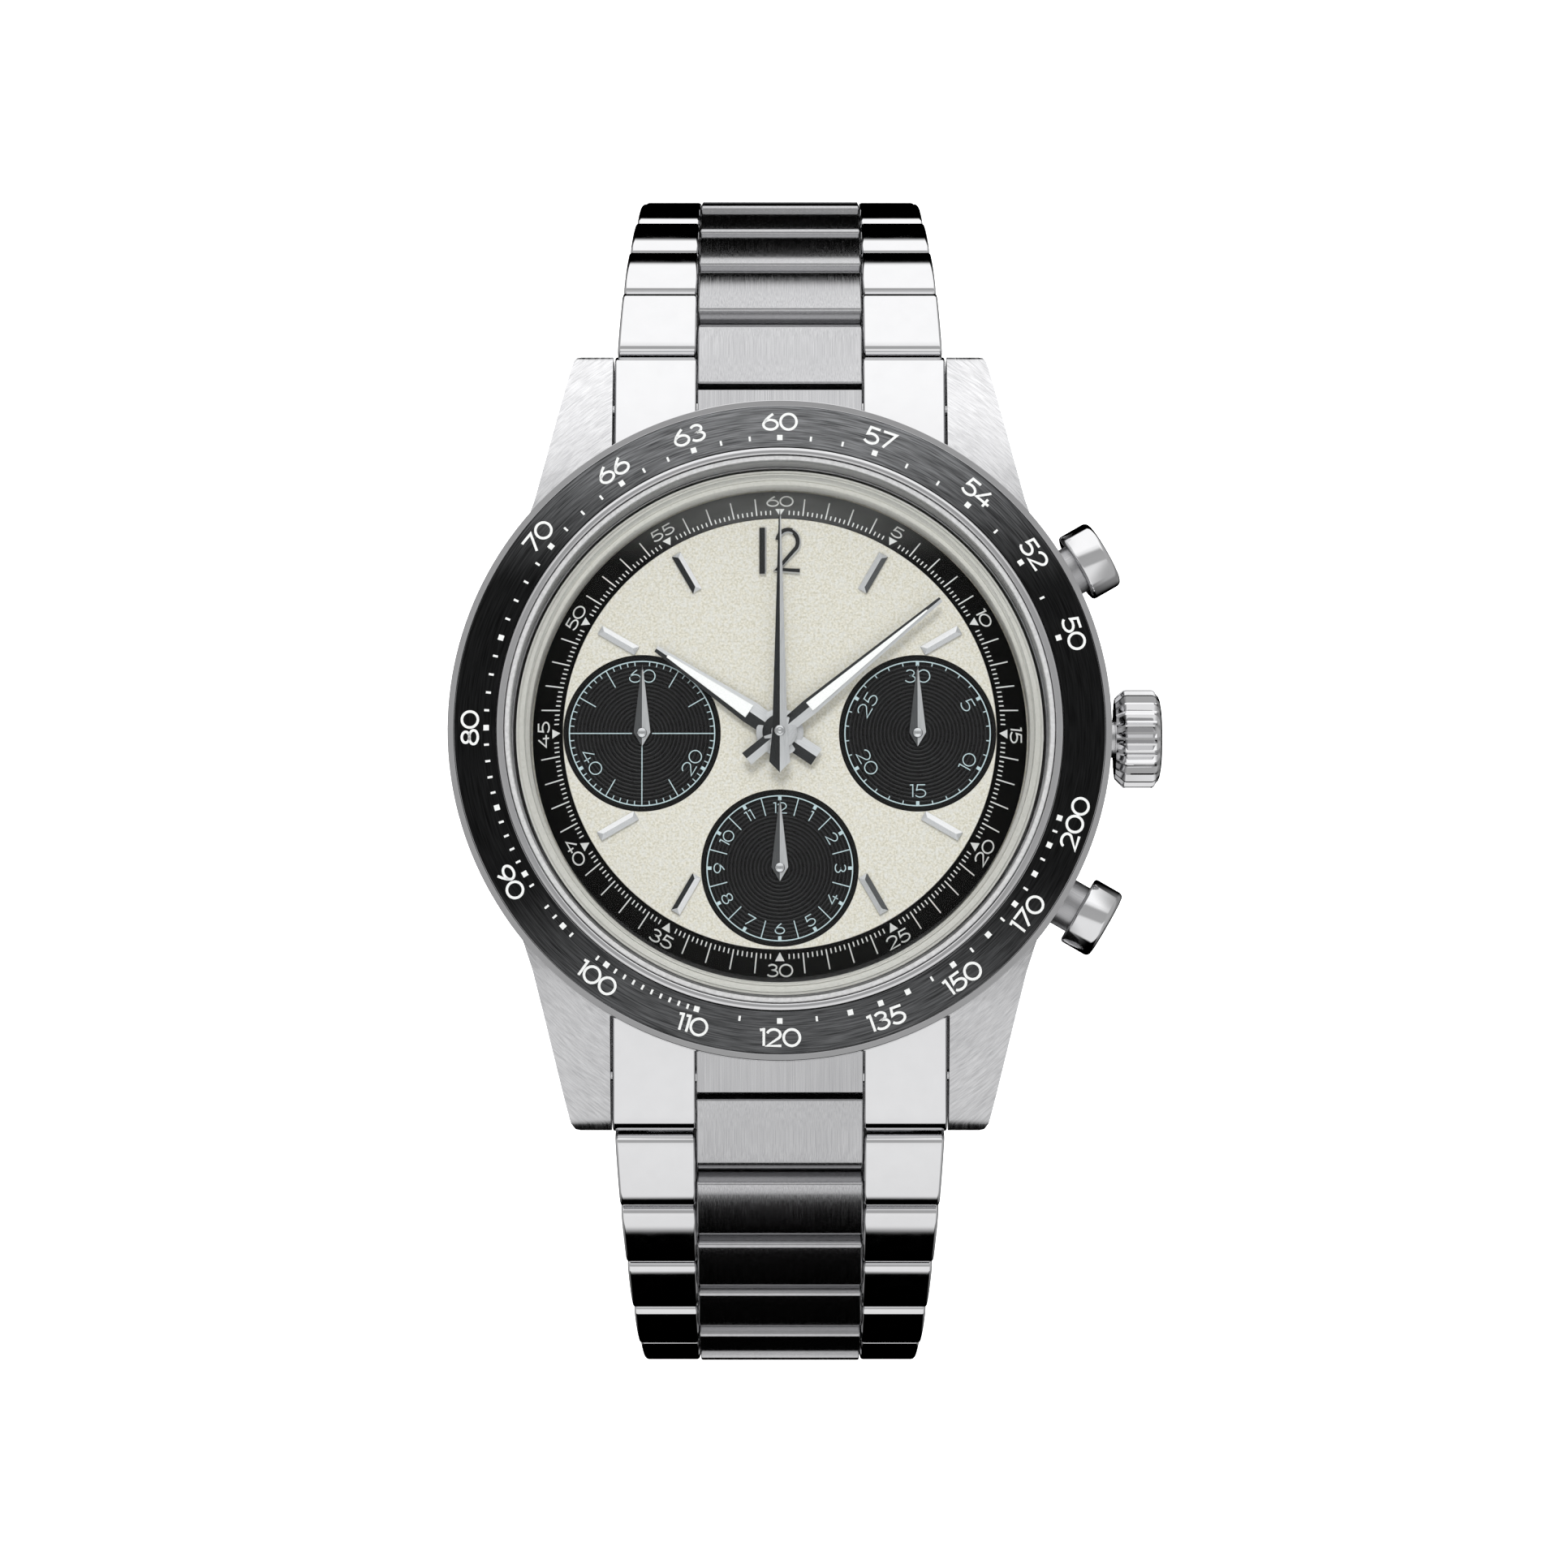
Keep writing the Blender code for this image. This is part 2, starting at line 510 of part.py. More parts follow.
def build_bracelet(mats):
    pins = pin_positions()
    half_turn = spin_z(180)
    for side, turn in (("12", Matrix.Identity(4)), ("6", half_turn)):
        sign = 1 if side == "12" else -1
        node("end_link_" + side, moved(end_link_solid(), turn), mats["end_link"],
             (0, sign * PIN_Y, PIN_Z), smooth=False)
        bar_y, bar_z = bar_centre()
        bar = turned([(0.38, -10.8), (0.38, -9.9), (0.56, -9.9), (0.56, 9.9), (0.38, 9.9),
                      (0.38, 10.8)], 16)
        bar = moved(moved(bar, to_x_axis()), Matrix.Translation((0, sign * bar_y, bar_z)))
        node("spring_bar_" + side, bar, mats["bar"], (0, sign * bar_y, bar_z))
        for k, angle in enumerate(LINK_ANGLES):
            last = side == "6" and k == len(LINK_ANGLES) - 1
            solid = last_link_solid(k) if last else link_solid(k)
            tilt = turn @ Matrix.Rotation(math.radians(-angle), 4, "X")
            y, z = pins[k]
            solid = moved(solid, Matrix.Translation((0, sign * y, z)) @ tilt)
            node("link_%s_%02d" % (side, k + 1), solid, mats["link"], (0, sign * y, z), tilt, False)


# ---------------------------------------------------------------- clasp

def hinge_ring(y, z, radius=HINGE_R, steps=14):
    return [(y + radius * math.cos(2 * math.pi * i / steps),
             z + radius * math.sin(2 * math.pi * i / steps)) for i in range(steps)]


def build_clasp(mats):
    end_y, end_z = pin_positions()[-1]
    h6 = (HINGE_6_Y, end_z + 0.15)
    h12 = (HINGE_12_Y, end_z - 0.5)
    gap = HINGE_R + 0.12

    # Inner blade: bored knuckle at the 12 o'clock side, forked hinge with its pin at the other end.
    base = box(-BLADE_HALF, BLADE_HALF, h6[0], end_y, end_z + 0.45, end_z + 1.19)
    base = union(base, prism(hinge_ring(end_y, end_z, LINK_R, 20), -CENTRE_HALF, CENTRE_HALF, "x"),
                 prism(hinge_ring(*h6), -BLADE_HALF, BLADE_HALF, "x"))
    base = cut(base, box(-2.6, 2.6, h6[0] - 2, h6[0] + gap, end_z - 2, end_z + 2),
               cylinder_x(BORE_R, -6, 6, end_y, end_z, 8))
    base = union(base, cylinder_x(0.36, -4.0, 4.0, *h6, 12))
    node("clasp_base", base, mats["clasp_base"], (0, end_y, end_z), smooth=False)

    # Middle blade: a centre knuckle at both ends.
    mid = box(-BLADE_HALF, BLADE_HALF, h6[0] + gap, h12[0] - gap, end_z - 0.5, end_z + 0.25)
    mid = union(mid, box(-2.5, 2.5, h6[0], h12[0], end_z - 0.5, end_z + 0.25),
                prism(hinge_ring(*h6), -2.5, 2.5, "x"), prism(hinge_ring(*h12), -2.5, 2.5, "x"))
    mid = cut(mid, cylinder_x(0.42, -6, 6, *h6, 12), cylinder_x(0.42, -6, 6, *h12, 12))
    node("clasp_middle_blade", mid, mats["clasp_mid"], (0, *h6), smooth=False)

    # Cover: floor, two side walls, a forked hinge with its pin and two ears for the spring bar.
    y6, y12 = -(end_y + LINK_R), end_y - LINK_R - 0.35
    z0, z1, z2 = end_z - 1.8, end_z - 0.7, end_z + 1.2
    floor_y = -(end_y - LINK_R - 0.15)
    cover = box(-CLASP_HALF, CLASP_HALF, floor_y, y12, z0, z1)
    wall = [(floor_y, z0), (y12 - 0.5, z0), (y12, z0 + 0.5), (y12, z2 - 1.0), (y12 - 1.0, z2),
            (-end_y, z2)] + arc(-end_y, end_z, LINK_R, 90, 215, 8)
    for sign in (1, -1):
        cover = union(cover, prism(wall, sign * 8.15, sign * CLASP_HALF, "x"))
        ear = [(floor_y + 1.0, z0), (floor_y + 1.0, z2)] + arc(-end_y, end_z, LINK_R, 90, 215, 8) \
            + [(floor_y, z0)]
        cover = union(cover, prism(ear, sign * 5.15, sign * 8.6, "x"))
        cover = union(cover, prism(hinge_ring(*h12), sign * 2.6, sign * BLADE_HALF, "x"),
                      box(min(sign * 2.6, sign * 4.8), max(sign * 2.6, sign * 4.8),
                          h12[0] - 0.5, h12[0] + 0.5, z0 + 0.3, h12[1]))
    cover = cut(cover, box(-2.6, 2.6, h12[0] - gap, h12[0] + gap, end_z - 3, end_z + 2))
    cover = union(cover, cylinder_x(0.36, -4.0, 4.0, *h12, 12))
    node("clasp_cover", cover, mats["clasp_cover"], (0, *h12), smooth=False)

    bar = turned([(0.6, -4.95), (0.6, 4.95)], 16)
    bar = moved(moved(bar, to_x_axis()), Matrix.Translation((0, -end_y, end_z)))
    node("clasp_spring_bar", bar, mats["clasp_bar"], (0, -end_y, end_z))


def main():
    clear_scene()
    steel = (0.62, 0.62, 0.63)
    brass = (0.75, 0.58, 0.28)
    mats = {
        "steel_brushed": material("case_steel", steel, 1.0, 0.35),
        "steel_back": material("case_back_steel", steel, 1.0, 0.3),
        "steel_bezel": material("bezel_steel", (0.7, 0.7, 0.71), 1.0, 0.12),
        "rubber": material("case_back_rubber", (0.02, 0.02, 0.02), 0.0, 0.7),
        "gasket": material("crystal_gasket_plastic", (0.6, 0.6, 0.58), 0.0, 0.5),
        "insert_black": material("insert_aluminium", (0.02, 0.02, 0.02), 0.3, 0.4),
        "glass": material("crystal_glass", (0.95, 0.97, 1.0), 0.0, 0.03, 0.15),
        "dial": material("dial_cream", (0.72, 0.68, 0.58), 0.0, 0.6),
        "track": material("track_black", (0.01, 0.01, 0.01), 0.0, 0.5),
        "rehaut": material("rehaut_cream", (0.75, 0.72, 0.64), 0.0, 0.5),
        "ring": material("movement_ring_steel", (0.5, 0.5, 0.5), 1.0, 0.5),
        "brass": material("main_plate_brass", brass, 1.0, 0.4),
        "bridge": material("bridge_rhodium", (0.6, 0.6, 0.6), 1.0, 0.4),
        "brass_wheel": material("barrel_brass", brass, 1.0, 0.3),
        "balance": material("balance_brass", brass, 1.0, 0.3),
        "hour_wheel": material("hour_wheel_brass", brass, 1.0, 0.35),
        "center_wheel": material("center_wheel_brass", brass, 1.0, 0.35),
        "chrono_wheel": material("chronograph_wheel_brass", brass, 1.0, 0.35),
        "crown": material("crown_steel", (0.68, 0.68, 0.69), 1.0, 0.15),
        "stem": material("stem_steel", steel, 1.0, 0.3),
        "pinion": material("pinion_steel", steel, 1.0, 0.3),
        "end_link": material("end_link_steel", steel, 1.0, 0.3),
        "link": material("link_steel", steel, 1.0, 0.3),
        "bar": material("spring_bar_steel", steel, 1.0, 0.3),
        "clasp_base": material("clasp_base_steel", steel, 1.0, 0.2),
        "clasp_mid": material("clasp_blade_steel", steel, 1.0, 0.2),
        "clasp_cover": material("clasp_cover_steel", steel, 1.0, 0.35),
        "clasp_bar": material("clasp_bar_steel", steel, 1.0, 0.3),
        "hour_hand": material("hour_hand_rhodium", (0.8, 0.8, 0.8), 1.0, 0.15),
        "minute_hand": material("minute_hand_rhodium", (0.8, 0.8, 0.8), 1.0, 0.15),
        "chrono_hand": material("chronograph_hand_rhodium", (0.8, 0.8, 0.8), 1.0, 0.15),
    }
    for name in ("running_seconds_hand", "minute_counter_hand", "hour_counter_hand"):
        mats[name] = material(name + "_rhodium", (0.8, 0.8, 0.8), 1.0, 0.15)
    for name in ("fourth_wheel", "minute_counter_wheel", "hour_counter_wheel"):
        mats[name] = material(name + "_brass", brass, 1.0, 0.35)
    for name in ("start_pusher", "reset_pusher"):
        mats[name] = material(name + "_steel", (0.68, 0.68, 0.69), 1.0, 0.15)
    build_case(mats)
    build_crystal(mats)
    build_dial(mats)
    build_movement(mats)
    build_hands(mats)
    build_controls(mats)
    build_bracelet(mats)
    build_clasp(mats)


main()
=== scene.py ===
"""Looks of the chronograph wristwatch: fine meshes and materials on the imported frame."""
import json
import math

import bmesh
import bpy
from mathutils import Matrix, Vector


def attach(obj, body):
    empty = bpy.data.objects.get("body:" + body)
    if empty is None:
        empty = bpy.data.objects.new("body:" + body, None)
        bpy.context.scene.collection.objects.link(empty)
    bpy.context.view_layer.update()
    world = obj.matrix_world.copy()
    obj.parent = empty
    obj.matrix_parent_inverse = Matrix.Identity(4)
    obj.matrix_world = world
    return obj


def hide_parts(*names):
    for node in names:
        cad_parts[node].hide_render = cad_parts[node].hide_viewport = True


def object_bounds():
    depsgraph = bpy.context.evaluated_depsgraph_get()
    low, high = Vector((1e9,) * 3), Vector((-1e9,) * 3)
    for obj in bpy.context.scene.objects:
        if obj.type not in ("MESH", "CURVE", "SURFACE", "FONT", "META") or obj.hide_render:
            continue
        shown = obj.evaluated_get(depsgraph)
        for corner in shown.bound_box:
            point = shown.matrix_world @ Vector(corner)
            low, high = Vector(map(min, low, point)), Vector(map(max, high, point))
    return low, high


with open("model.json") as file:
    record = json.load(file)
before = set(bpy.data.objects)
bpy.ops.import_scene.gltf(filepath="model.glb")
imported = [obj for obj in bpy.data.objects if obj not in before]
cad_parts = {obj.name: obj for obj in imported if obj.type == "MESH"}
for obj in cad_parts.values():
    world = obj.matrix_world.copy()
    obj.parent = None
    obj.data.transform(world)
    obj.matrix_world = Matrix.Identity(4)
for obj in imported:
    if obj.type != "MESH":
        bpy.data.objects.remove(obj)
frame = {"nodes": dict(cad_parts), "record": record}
CAD_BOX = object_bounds()

MM = 0.001
ROUND = 192

# Heights of the surfaces that carry print, and the dial layout, in millimetres
DIAL_Z, SUB_Z, DIAL_RIM_Z = 7.6, 7.46, 5.95
TRACK_R0, TRACK_LIP_R, TRACK_KINK_R, TRACK_R1 = 13.0, 13.03, 13.55, 14.85
TRACK_LIP_Z, TRACK_KINK_Z, TRACK_LOW_Z, TRACK_THICK = 7.60, 7.18, 6.14, 0.12
INSERT_R0, INSERT_R1, INSERT_Z0, INSERT_Z1 = 16.93, 19.29, 10.555, 10.25
PRINT_UP, PRINT_DOWN = 0.02, 0.01
SUB_RIM_R, SUB_RING_R, SUB_TICK_R, SUB_BORE = 4.69, 4.35, 4.33, 0.42
SUBDIALS = {"running": (-8.25, 0.0), "minutes": (8.25, 0.0), "hours": (0.0, -8.1)}
HOUR_ANGLE, MINUTE_ANGLE = 304.2, 50.4
CROWN_Z, PUSHER_ANGLE = 4.6, 30.0
CASE_R, BEZEL_R = 19.2, 19.75

# Bracelet
PITCH, LINK_R, LINK_GAP, LINK_TOP = 5.0, 1.195, 0.105, 1.17
CENTRE_HALF, SIDE_GAP = 5.0, 0.06
END_ANGLE, END_BACK, END_HALF = 12.0, -8.5, 10.05

# Camera, set to the photo's viewing angle: degrees above the floor, then millimetres
CAMERA_TILT, CAMERA_DISTANCE, CAMERA_LENS, SENSOR = 84.0, 331.0, 128.0, 36.0
CAMERA_TARGET = (0.25, -3.31, 10.0)


# ---- materials

class Nodes:
    """Short forms for building a node tree."""

    def __init__(self, tree):
        self.tree = tree

    def add(self, kind, **values):
        node = self.tree.nodes.new(kind)
        for key, value in values.items():
            setattr(node, key, value)
        return node

    def link(self, source, target):
        self.tree.links.new(source, target)

    def math(self, operation, a, b=None):
        node = self.add("ShaderNodeMath", operation=operation)
        for i, value in enumerate((a, b)):
            if value is None:
                continue
            if isinstance(value, (int, float)):
                node.inputs[i].default_value = value
            else:
                self.link(value, node.inputs[i])
        return node.outputs[0]

    def remap(self, value, low, high, to_low, to_high, smooth=False):
        node = self.add("ShaderNodeMapRange")
        if smooth:
            node.interpolation_type = "SMOOTHSTEP"
        self.link(value, node.inputs[0])
        for i, v in enumerate((low, high, to_low, to_high)):
            node.inputs[1 + i].default_value = v
        return node.outputs[0]

    def noise(self, vector, scale, detail=3.0, rough=0.55):
        node = self.add("ShaderNodeTexNoise")
        node.inputs["Scale"].default_value = scale
        node.inputs["Detail"].default_value = detail
        node.inputs["Roughness"].default_value = rough
        self.link(vector, node.inputs["Vector"])
        return node.outputs[0]

    def mix_colour(self, fac, a, b):
        """Each of a and b is a colour or another node's socket."""
        node = self.add("ShaderNodeMix", data_type="RGBA")
        self.link(fac, node.inputs[0])
        for socket, value in zip(node.inputs[6:8], (a, b)):
            if isinstance(value, tuple):
                socket.default_value = (*value, 1)
            else:
                self.link(value, socket)
        return node.outputs[2]

    def coord(self, kind="Object"):
        return self.add("ShaderNodeTexCoord").outputs[kind]

    def split(self, vector):
        node = self.add("ShaderNodeSeparateXYZ")
        self.link(vector, node.inputs[0])
        return node.outputs

    def combine(self, *sockets):
        node = self.add("ShaderNodeCombineXYZ")
        for source, target in zip(sockets, node.inputs):
            self.link(source, target)
        return node.outputs[0]


def grain_vector(n, pattern, across, along):
    """Coordinates that stretch noise along the brushing: along X or Y, or round about Z."""
    if pattern in ("x", "y"):
        mapping = n.add("ShaderNodeMapping")
        n.link(n.coord(), mapping.inputs[0])
        scale = [across] * 3
        scale["xy".index(pattern)] = along
        mapping.inputs["Scale"].default_value = scale
        return mapping.outputs[0]
    x, y, z = n.split(n.coord())
    radius = n.math("SQRT", n.math("ADD", n.math("MULTIPLY", x, x), n.math("MULTIPLY", y, y)))
    angle = n.math("ARCTAN2", y, x)
    outward = n.math("ADD", n.math("MULTIPLY", radius, across), n.math("MULTIPLY", z, across * 0.6))
    return n.combine(outward, n.math("MULTIPLY", n.math("SINE", angle), along),
                     n.math("MULTIPLY", n.math("COSINE", angle), along))


def start_material(name):
    mat = bpy.data.materials.new(name)
    mat.use_nodes = True
    n = Nodes(mat.node_tree)
    return mat, n, mat.node_tree.nodes["Principled BSDF"]


def bump(n, shader, height, strength, distance):
    node = n.add("ShaderNodeBump")
    node.inputs["Strength"].default_value = strength
    node.inputs["Distance"].default_value = distance
    n.link(height, node.inputs["Height"])
    n.link(node.outputs[0], shader.inputs["Normal"])


def grey(level):
    return (level, level, level)


def steel(level):
    return (level, level, level + 0.01)


def brushed(name, dark, light, rough, pattern, across=26000.0, along=260.0, strength=0.25, metallic=1.0):
    mat, n, shader = start_material(name)
    grain = n.noise(grain_vector(n, pattern, across, along), 1.0)
    broad = n.noise(n.coord(), 180.0, 2.0)
    tone = n.math("ADD", n.math("MULTIPLY", grain, 0.8), n.math("MULTIPLY", broad, 0.2))
    n.link(n.mix_colour(n.remap(tone, 0.3, 0.7, 0, 1), dark, light), shader.inputs["Base Color"])
    n.link(n.remap(grain, 0.3, 0.7, rough[0], rough[1]), shader.inputs["Roughness"])
    shader.inputs["Metallic"].default_value = metallic
    bump(n, shader, grain, strength, 0.01 * MM)
    return mat


def facet(name, dark, light, rough, metallic):
    """Fine straight grain for one side of a hand or a marker, painted in a lit or shaded tone."""
    return brushed("facet_" + name, dark, light, rough, "y", 30000, 900, 0.05, metallic)


def polished(name, colour=steel(0.78), rough=(0.03, 0.09), scale=900.0):
    mat, n, shader = start_material(name)
    coord = n.coord()
    haze = n.noise(coord, scale, 4.0)
    fine = n.noise(coord, 9000.0, 2.0)
    low = tuple(c * 0.93 for c in colour)
    n.link(n.mix_colour(haze, low, colour), shader.inputs["Base Color"])
    n.link(n.remap(haze, 0.35, 0.7, rough[0], rough[1]), shader.inputs["Roughness"])
    shader.inputs["Metallic"].default_value = 1.0
    bump(n, shader, fine, 0.03, 0.005 * MM)
    return mat


def matte(name, low, high, rough, scale, strength=0.2, specular=0.5):
    mat, n, shader = start_material(name)
    grain = n.noise(n.coord(), scale, 4.0, 0.65)
    n.link(n.mix_colour(n.remap(grain, 0.35, 0.65, 0, 1), low, high), shader.inputs["Base Color"])
    n.link(n.remap(grain, 0.3, 0.7, rough[0], rough[1]), shader.inputs["Roughness"])
    shader.inputs["Specular IOR Level"].default_value = specular
    bump(n, shader, grain, strength, 0.02 * MM)
    return mat


def glass(name):
    """Crystal: it lets the light in without loss and shines where it is seen at a slant."""
    mat = bpy.data.materials.new(name)
    mat.use_nodes = True
    n = Nodes(mat.node_tree)
    mat.node_tree.nodes.clear()
    out = n.add("ShaderNodeOutputMaterial")
    clear = n.add("ShaderNodeBsdfTransparent")
    clear.inputs["Color"].default_value = (0.992, 0.996, 0.996, 1)
    shine = n.add("ShaderNodeBsdfGlossy")
    shine.inputs["Roughness"].default_value = 0.04
    weight = n.add("ShaderNodeLayerWeight")
    weight.inputs["Blend"].default_value = 0.35
    smear = n.remap(n.noise(n.coord(), 120.0, 2.0), 0.3, 0.7, 0.9, 1.1)
    fac = n.math("MULTIPLY", n.remap(weight.outputs["Facing"], 0.12, 0.9, 0.004, 0.4, True), smear)
    mix = n.add("ShaderNodeMixShader")
    n.link(fac, mix.inputs[0])
    n.link(clear.outputs[0], mix.inputs[1])
    n.link(shine.outputs[0], mix.inputs[2])
    n.link(mix.outputs[0], out.inputs[0])
    return mat


def faced_black(name, reach, start, top, low, base, streak, rough, across=15000, along=9):
    """Black with circular brushing and a painted sheen: grey painted in toward 12 and toward 6."""
    mat, n, shader = start_material(name)
    grain = n.noise(grain_vector(n, "round_z", across, along), 1.0)
    # Painted sheen: grey from `start` of `reach` along Y, up to `top` toward 12 and `low` toward 6.
    share = n.math("DIVIDE", n.split(n.coord())[1], reach * MM)
    level = n.math("ADD", n.remap(share, start, 1.0, 0.0, top, True),
                   n.remap(share, -start, -1.0, 0.0, low, True))
    streaks = n.remap(grain, 0.32, 0.68, 1 - streak, 1 + streak)
    shade = n.math("MULTIPLY", n.math("ADD", level, base), streaks)
    colour = n.combine(shade, n.math("MULTIPLY", shade, 1.02), n.math("MULTIPLY", shade, 1.05))
    n.link(colour, shader.inputs["Base Color"])
    n.link(n.remap(grain, 0.3, 0.7, rough, rough + 0.1), shader.inputs["Roughness"])
    shader.inputs["Metallic"].default_value = 0.9
    bump(n, shader, grain, streak * 0.3, 0.01 * MM)
    return mat


def dial_paint(name):
    """Warm sand lacquer with a fine speckle."""
    mat, n, shader = start_material(name)
    coord = n.coord()
    grain = n.noise(coord, 7500.0, 2.0, 0.7)
    other = n.noise(coord, 5200.0, 1.0, 0.5)
    warm = n.mix_colour(n.remap(grain, 0.38, 0.62, 0, 1), (0.545, 0.52, 0.425), (0.735, 0.71, 0.63))
    cool = n.mix_colour(n.remap(other, 0.42, 0.68, 0, 0.5), warm, (0.71, 0.715, 0.70))
    n.link(cool, shader.inputs["Base Color"])
    n.link(n.remap(grain, 0.3, 0.7, 0.45, 0.6), shader.inputs["Roughness"])
    shader.inputs["Specular IOR Level"].default_value = 0.25
    bump(n, shader, grain, 0.35, 0.02 * MM)
    return mat


def toward_12(mat, start, stop, low, high):
    """Paints light and shade on a material: lighter from one height on the dial's Y axis, in mm, to another.
    """
    n = Nodes(mat.node_tree)
    socket = mat.node_tree.nodes["Principled BSDF"].inputs["Base Color"]
    source = socket.links[0].from_socket
    # Painted light and shade: the colour is scaled from low to high along the Y axis.
    level = n.remap(n.split(n.coord())[1], start * MM, stop * MM, low, high, True)
    scale = n.add("ShaderNodeVectorMath", operation="SCALE")
    n.link(source, scale.inputs[0])
    n.link(level, scale.inputs["Scale"])
    n.link(scale.outputs[0], socket)
    return mat


LOOKS = {
    # Painted light: the case is painted lighter toward the lugs at 12 and a little darker elsewhere.
    "case": toward_12(brushed("case_brushed_painted_light", steel(0.48), steel(0.78), (0.16, 0.28), "round_z", 14000, 26),
                      13.5, 21.5, 0.90, 1.14),
    "link_centre": brushed("link_brushed", steel(0.40), steel(0.60), (0.13, 0.22), "y"),
    "polished": polished("steel_polished"),
    "bezel": polished("bezel_polished", steel(0.70), (0.06, 0.12)),
    # Painted sheen: the insert's black is painted grey toward 12 and toward 6.
    "insert": faced_black("insert_black", 18.1, 0.45, 0.19, 0.10, 0.011, 0.6, 0.30),
    "back": brushed("case_back_brushed", steel(0.45), steel(0.65), (0.22, 0.36), "round_z", 22000, 14),
    "neck": brushed("pusher_neck_brushed", steel(0.4), steel(0.6), (0.3, 0.4), "x"),
    "clasp": brushed("clasp_brushed", steel(0.42), steel(0.64), (0.24, 0.36), "y"),
    "gasket": matte("gasket_pale", grey(0.52), grey(0.66), (0.3, 0.45), 4000),
    "dial": dial_paint("dial_sand"),
    # Painted light and shade: the rehaut is painted lighter toward 12 and darker toward 3, 6 and 9.
    "rehaut": toward_12(matte("rehaut_cream", (0.84, 0.83, 0.77), (0.91, 0.90, 0.84), (0.25, 0.4), 5000,
                              0.05), -2.0, 14.0, 0.72, 1.08),
    # Painted sheen: the track's black is painted grey toward 12.
    "track": faced_black("track_black", 14.2, 0.72, 0.20, 0.0, 0.006, 0.10, 0.35, 3000, 6),
    "subdial": matte("subdial_black", grey(0.003), grey(0.005), (0.26, 0.32), 3000, 0.01,
                     0.22),
    # Painted glint: the grooves' sloped walls are a lighter black than the counter, as if they caught the
    # light.
    "subdial_groove_painted_glint": matte("subdial_groove_painted_glint", (0.016, 0.016, 0.017), (0.022, 0.022, 0.023), (0.30, 0.36),
                            3000, 0.01, 0.22),
    "white": matte("print_white", (0.74, 0.75, 0.74), (0.86, 0.87, 0.86), (0.4, 0.55), 12000, 0.1),
    "cyan": matte("print_pale_blue", (0.40, 0.52, 0.55), (0.55, 0.68, 0.70), (0.4, 0.55), 12000, 0.1),
    "lume": matte("lume_white", (0.82, 0.83, 0.82), (0.95, 0.96, 0.95), (0.5, 0.7), 15000, 0.15),
    "hand": polished("hand_rhodium", (0.70, 0.71, 0.72), (0.10, 0.18), 2500.0),
    # Lit and shaded copies of one steel: painted light, painted highlight, painted half shade and painted
    # shade.
    "facet_light": facet("light", (0.55, 0.56, 0.57), (0.72, 0.73, 0.74), (0.34, 0.44), 0.55),
    "facet_white": facet("white", steel(0.80), steel(0.93), (0.30, 0.40), 0.4),
    "facet_mid": facet("mid", (0.09, 0.093, 0.096), (0.14, 0.145, 0.15), (0.30, 0.40), 0.5),
    "facet_dark": facet("dark", (0.020, 0.021, 0.022), (0.036, 0.038, 0.04), (0.30, 0.40), 0.5),
    "brass": brushed("movement_brass", (0.55, 0.42, 0.20), (0.78, 0.62, 0.32), (0.25, 0.4), "round_z",
                     9000, 30),
    "plate": brushed("movement_rhodium", grey(0.5), grey(0.7), (0.3, 0.45), "x", 3000, 60),
    "rubber": matte("rubber_black", grey(0.015), grey(0.03), (0.6, 0.8), 3000),
    "glass": glass("crystal_clear"),
}


# ---- mesh tools

def mesh_from(bm):
    bmesh.ops.recalc_face_normals(bm, faces=bm.faces)
    mesh = bpy.data.meshes.new("m")
    bm.to_mesh(mesh)
    bm.free()
    return mesh


def skin(bm, loops, closed=False):
    """Faces from each loop of vertices to the next, and a cap at both ends unless they close."""
    pairs = list(zip(loops, loops[1:]))
    if closed:
        pairs.append((loops[-1], loops[0]))
    for a, b in pairs:
        for i in range(len(a)):
            j = (i + 1) % len(a)
            bm.faces.new((a[i], a[j], b[j], b[i]))
    if not closed:
        bm.faces.new(loops[0])
        bm.faces.new(loops[-1])


def from_rings(rings, closed=False):
    bm = bmesh.new()
    skin(bm, [[bm.verts.new(p) for p in ring] for ring in rings], closed)
    return mesh_from(bm)


def circle(radius, z, segments):
    return [(radius * math.cos(2 * math.pi * i / segments),
             radius * math.sin(2 * math.pi * i / segments), z) for i in range(segments)]


def lathe(profile, segments=ROUND):
    return from_rings([circle(r, z, segments) for r, z in profile], True)


def turned(profile, segments=ROUND):
    return from_rings([circle(r, z, segments) for r, z in profile])


def prism(points, d0, d1, axis="z"):
    def place(u, v, d):
        return (d, u, v) if axis == "x" else (u, v, d)
    return from_rings([[place(u, v, d) for u, v in points] for d in (d0, d1)])


def box(x0, x1, y0, y1, z0, z1):
    return prism([(x0, y0), (x1, y0), (x1, y1), (x0, y1)], z0, z1)


def ellipse(cx, cy, rx, ry, start, stop, steps=14):
    return [(cx + rx * math.cos(math.radians(start + (stop - start) * i / steps)),
             cy + ry * math.sin(math.radians(start + (stop - start) * i / steps)))
            for i in range(steps + 1)]


def arc(cx, cy, radius, start, stop, steps):
    return ellipse(cx, cy, radius, radius, start, stop, steps)


def moved(mesh, matrix):
    mesh.transform(matrix)
    return mesh


def spin_z(degrees):
    return Matrix.Rotation(math.radians(degrees), 4, "Z")


def to_x():
    return Matrix.Rotation(math.radians(90), 4, "Y")


def at(x, y, z):
    return Matrix.Translation((x, y, z))


def join(*meshes):
    bm = bmesh.new()
    for mesh in meshes:
        bm.from_mesh(mesh)
        bpy.data.meshes.remove(mesh)
    mesh = bpy.data.meshes.new("m")
    bm.to_mesh(mesh)
    bm.free()
    return mesh


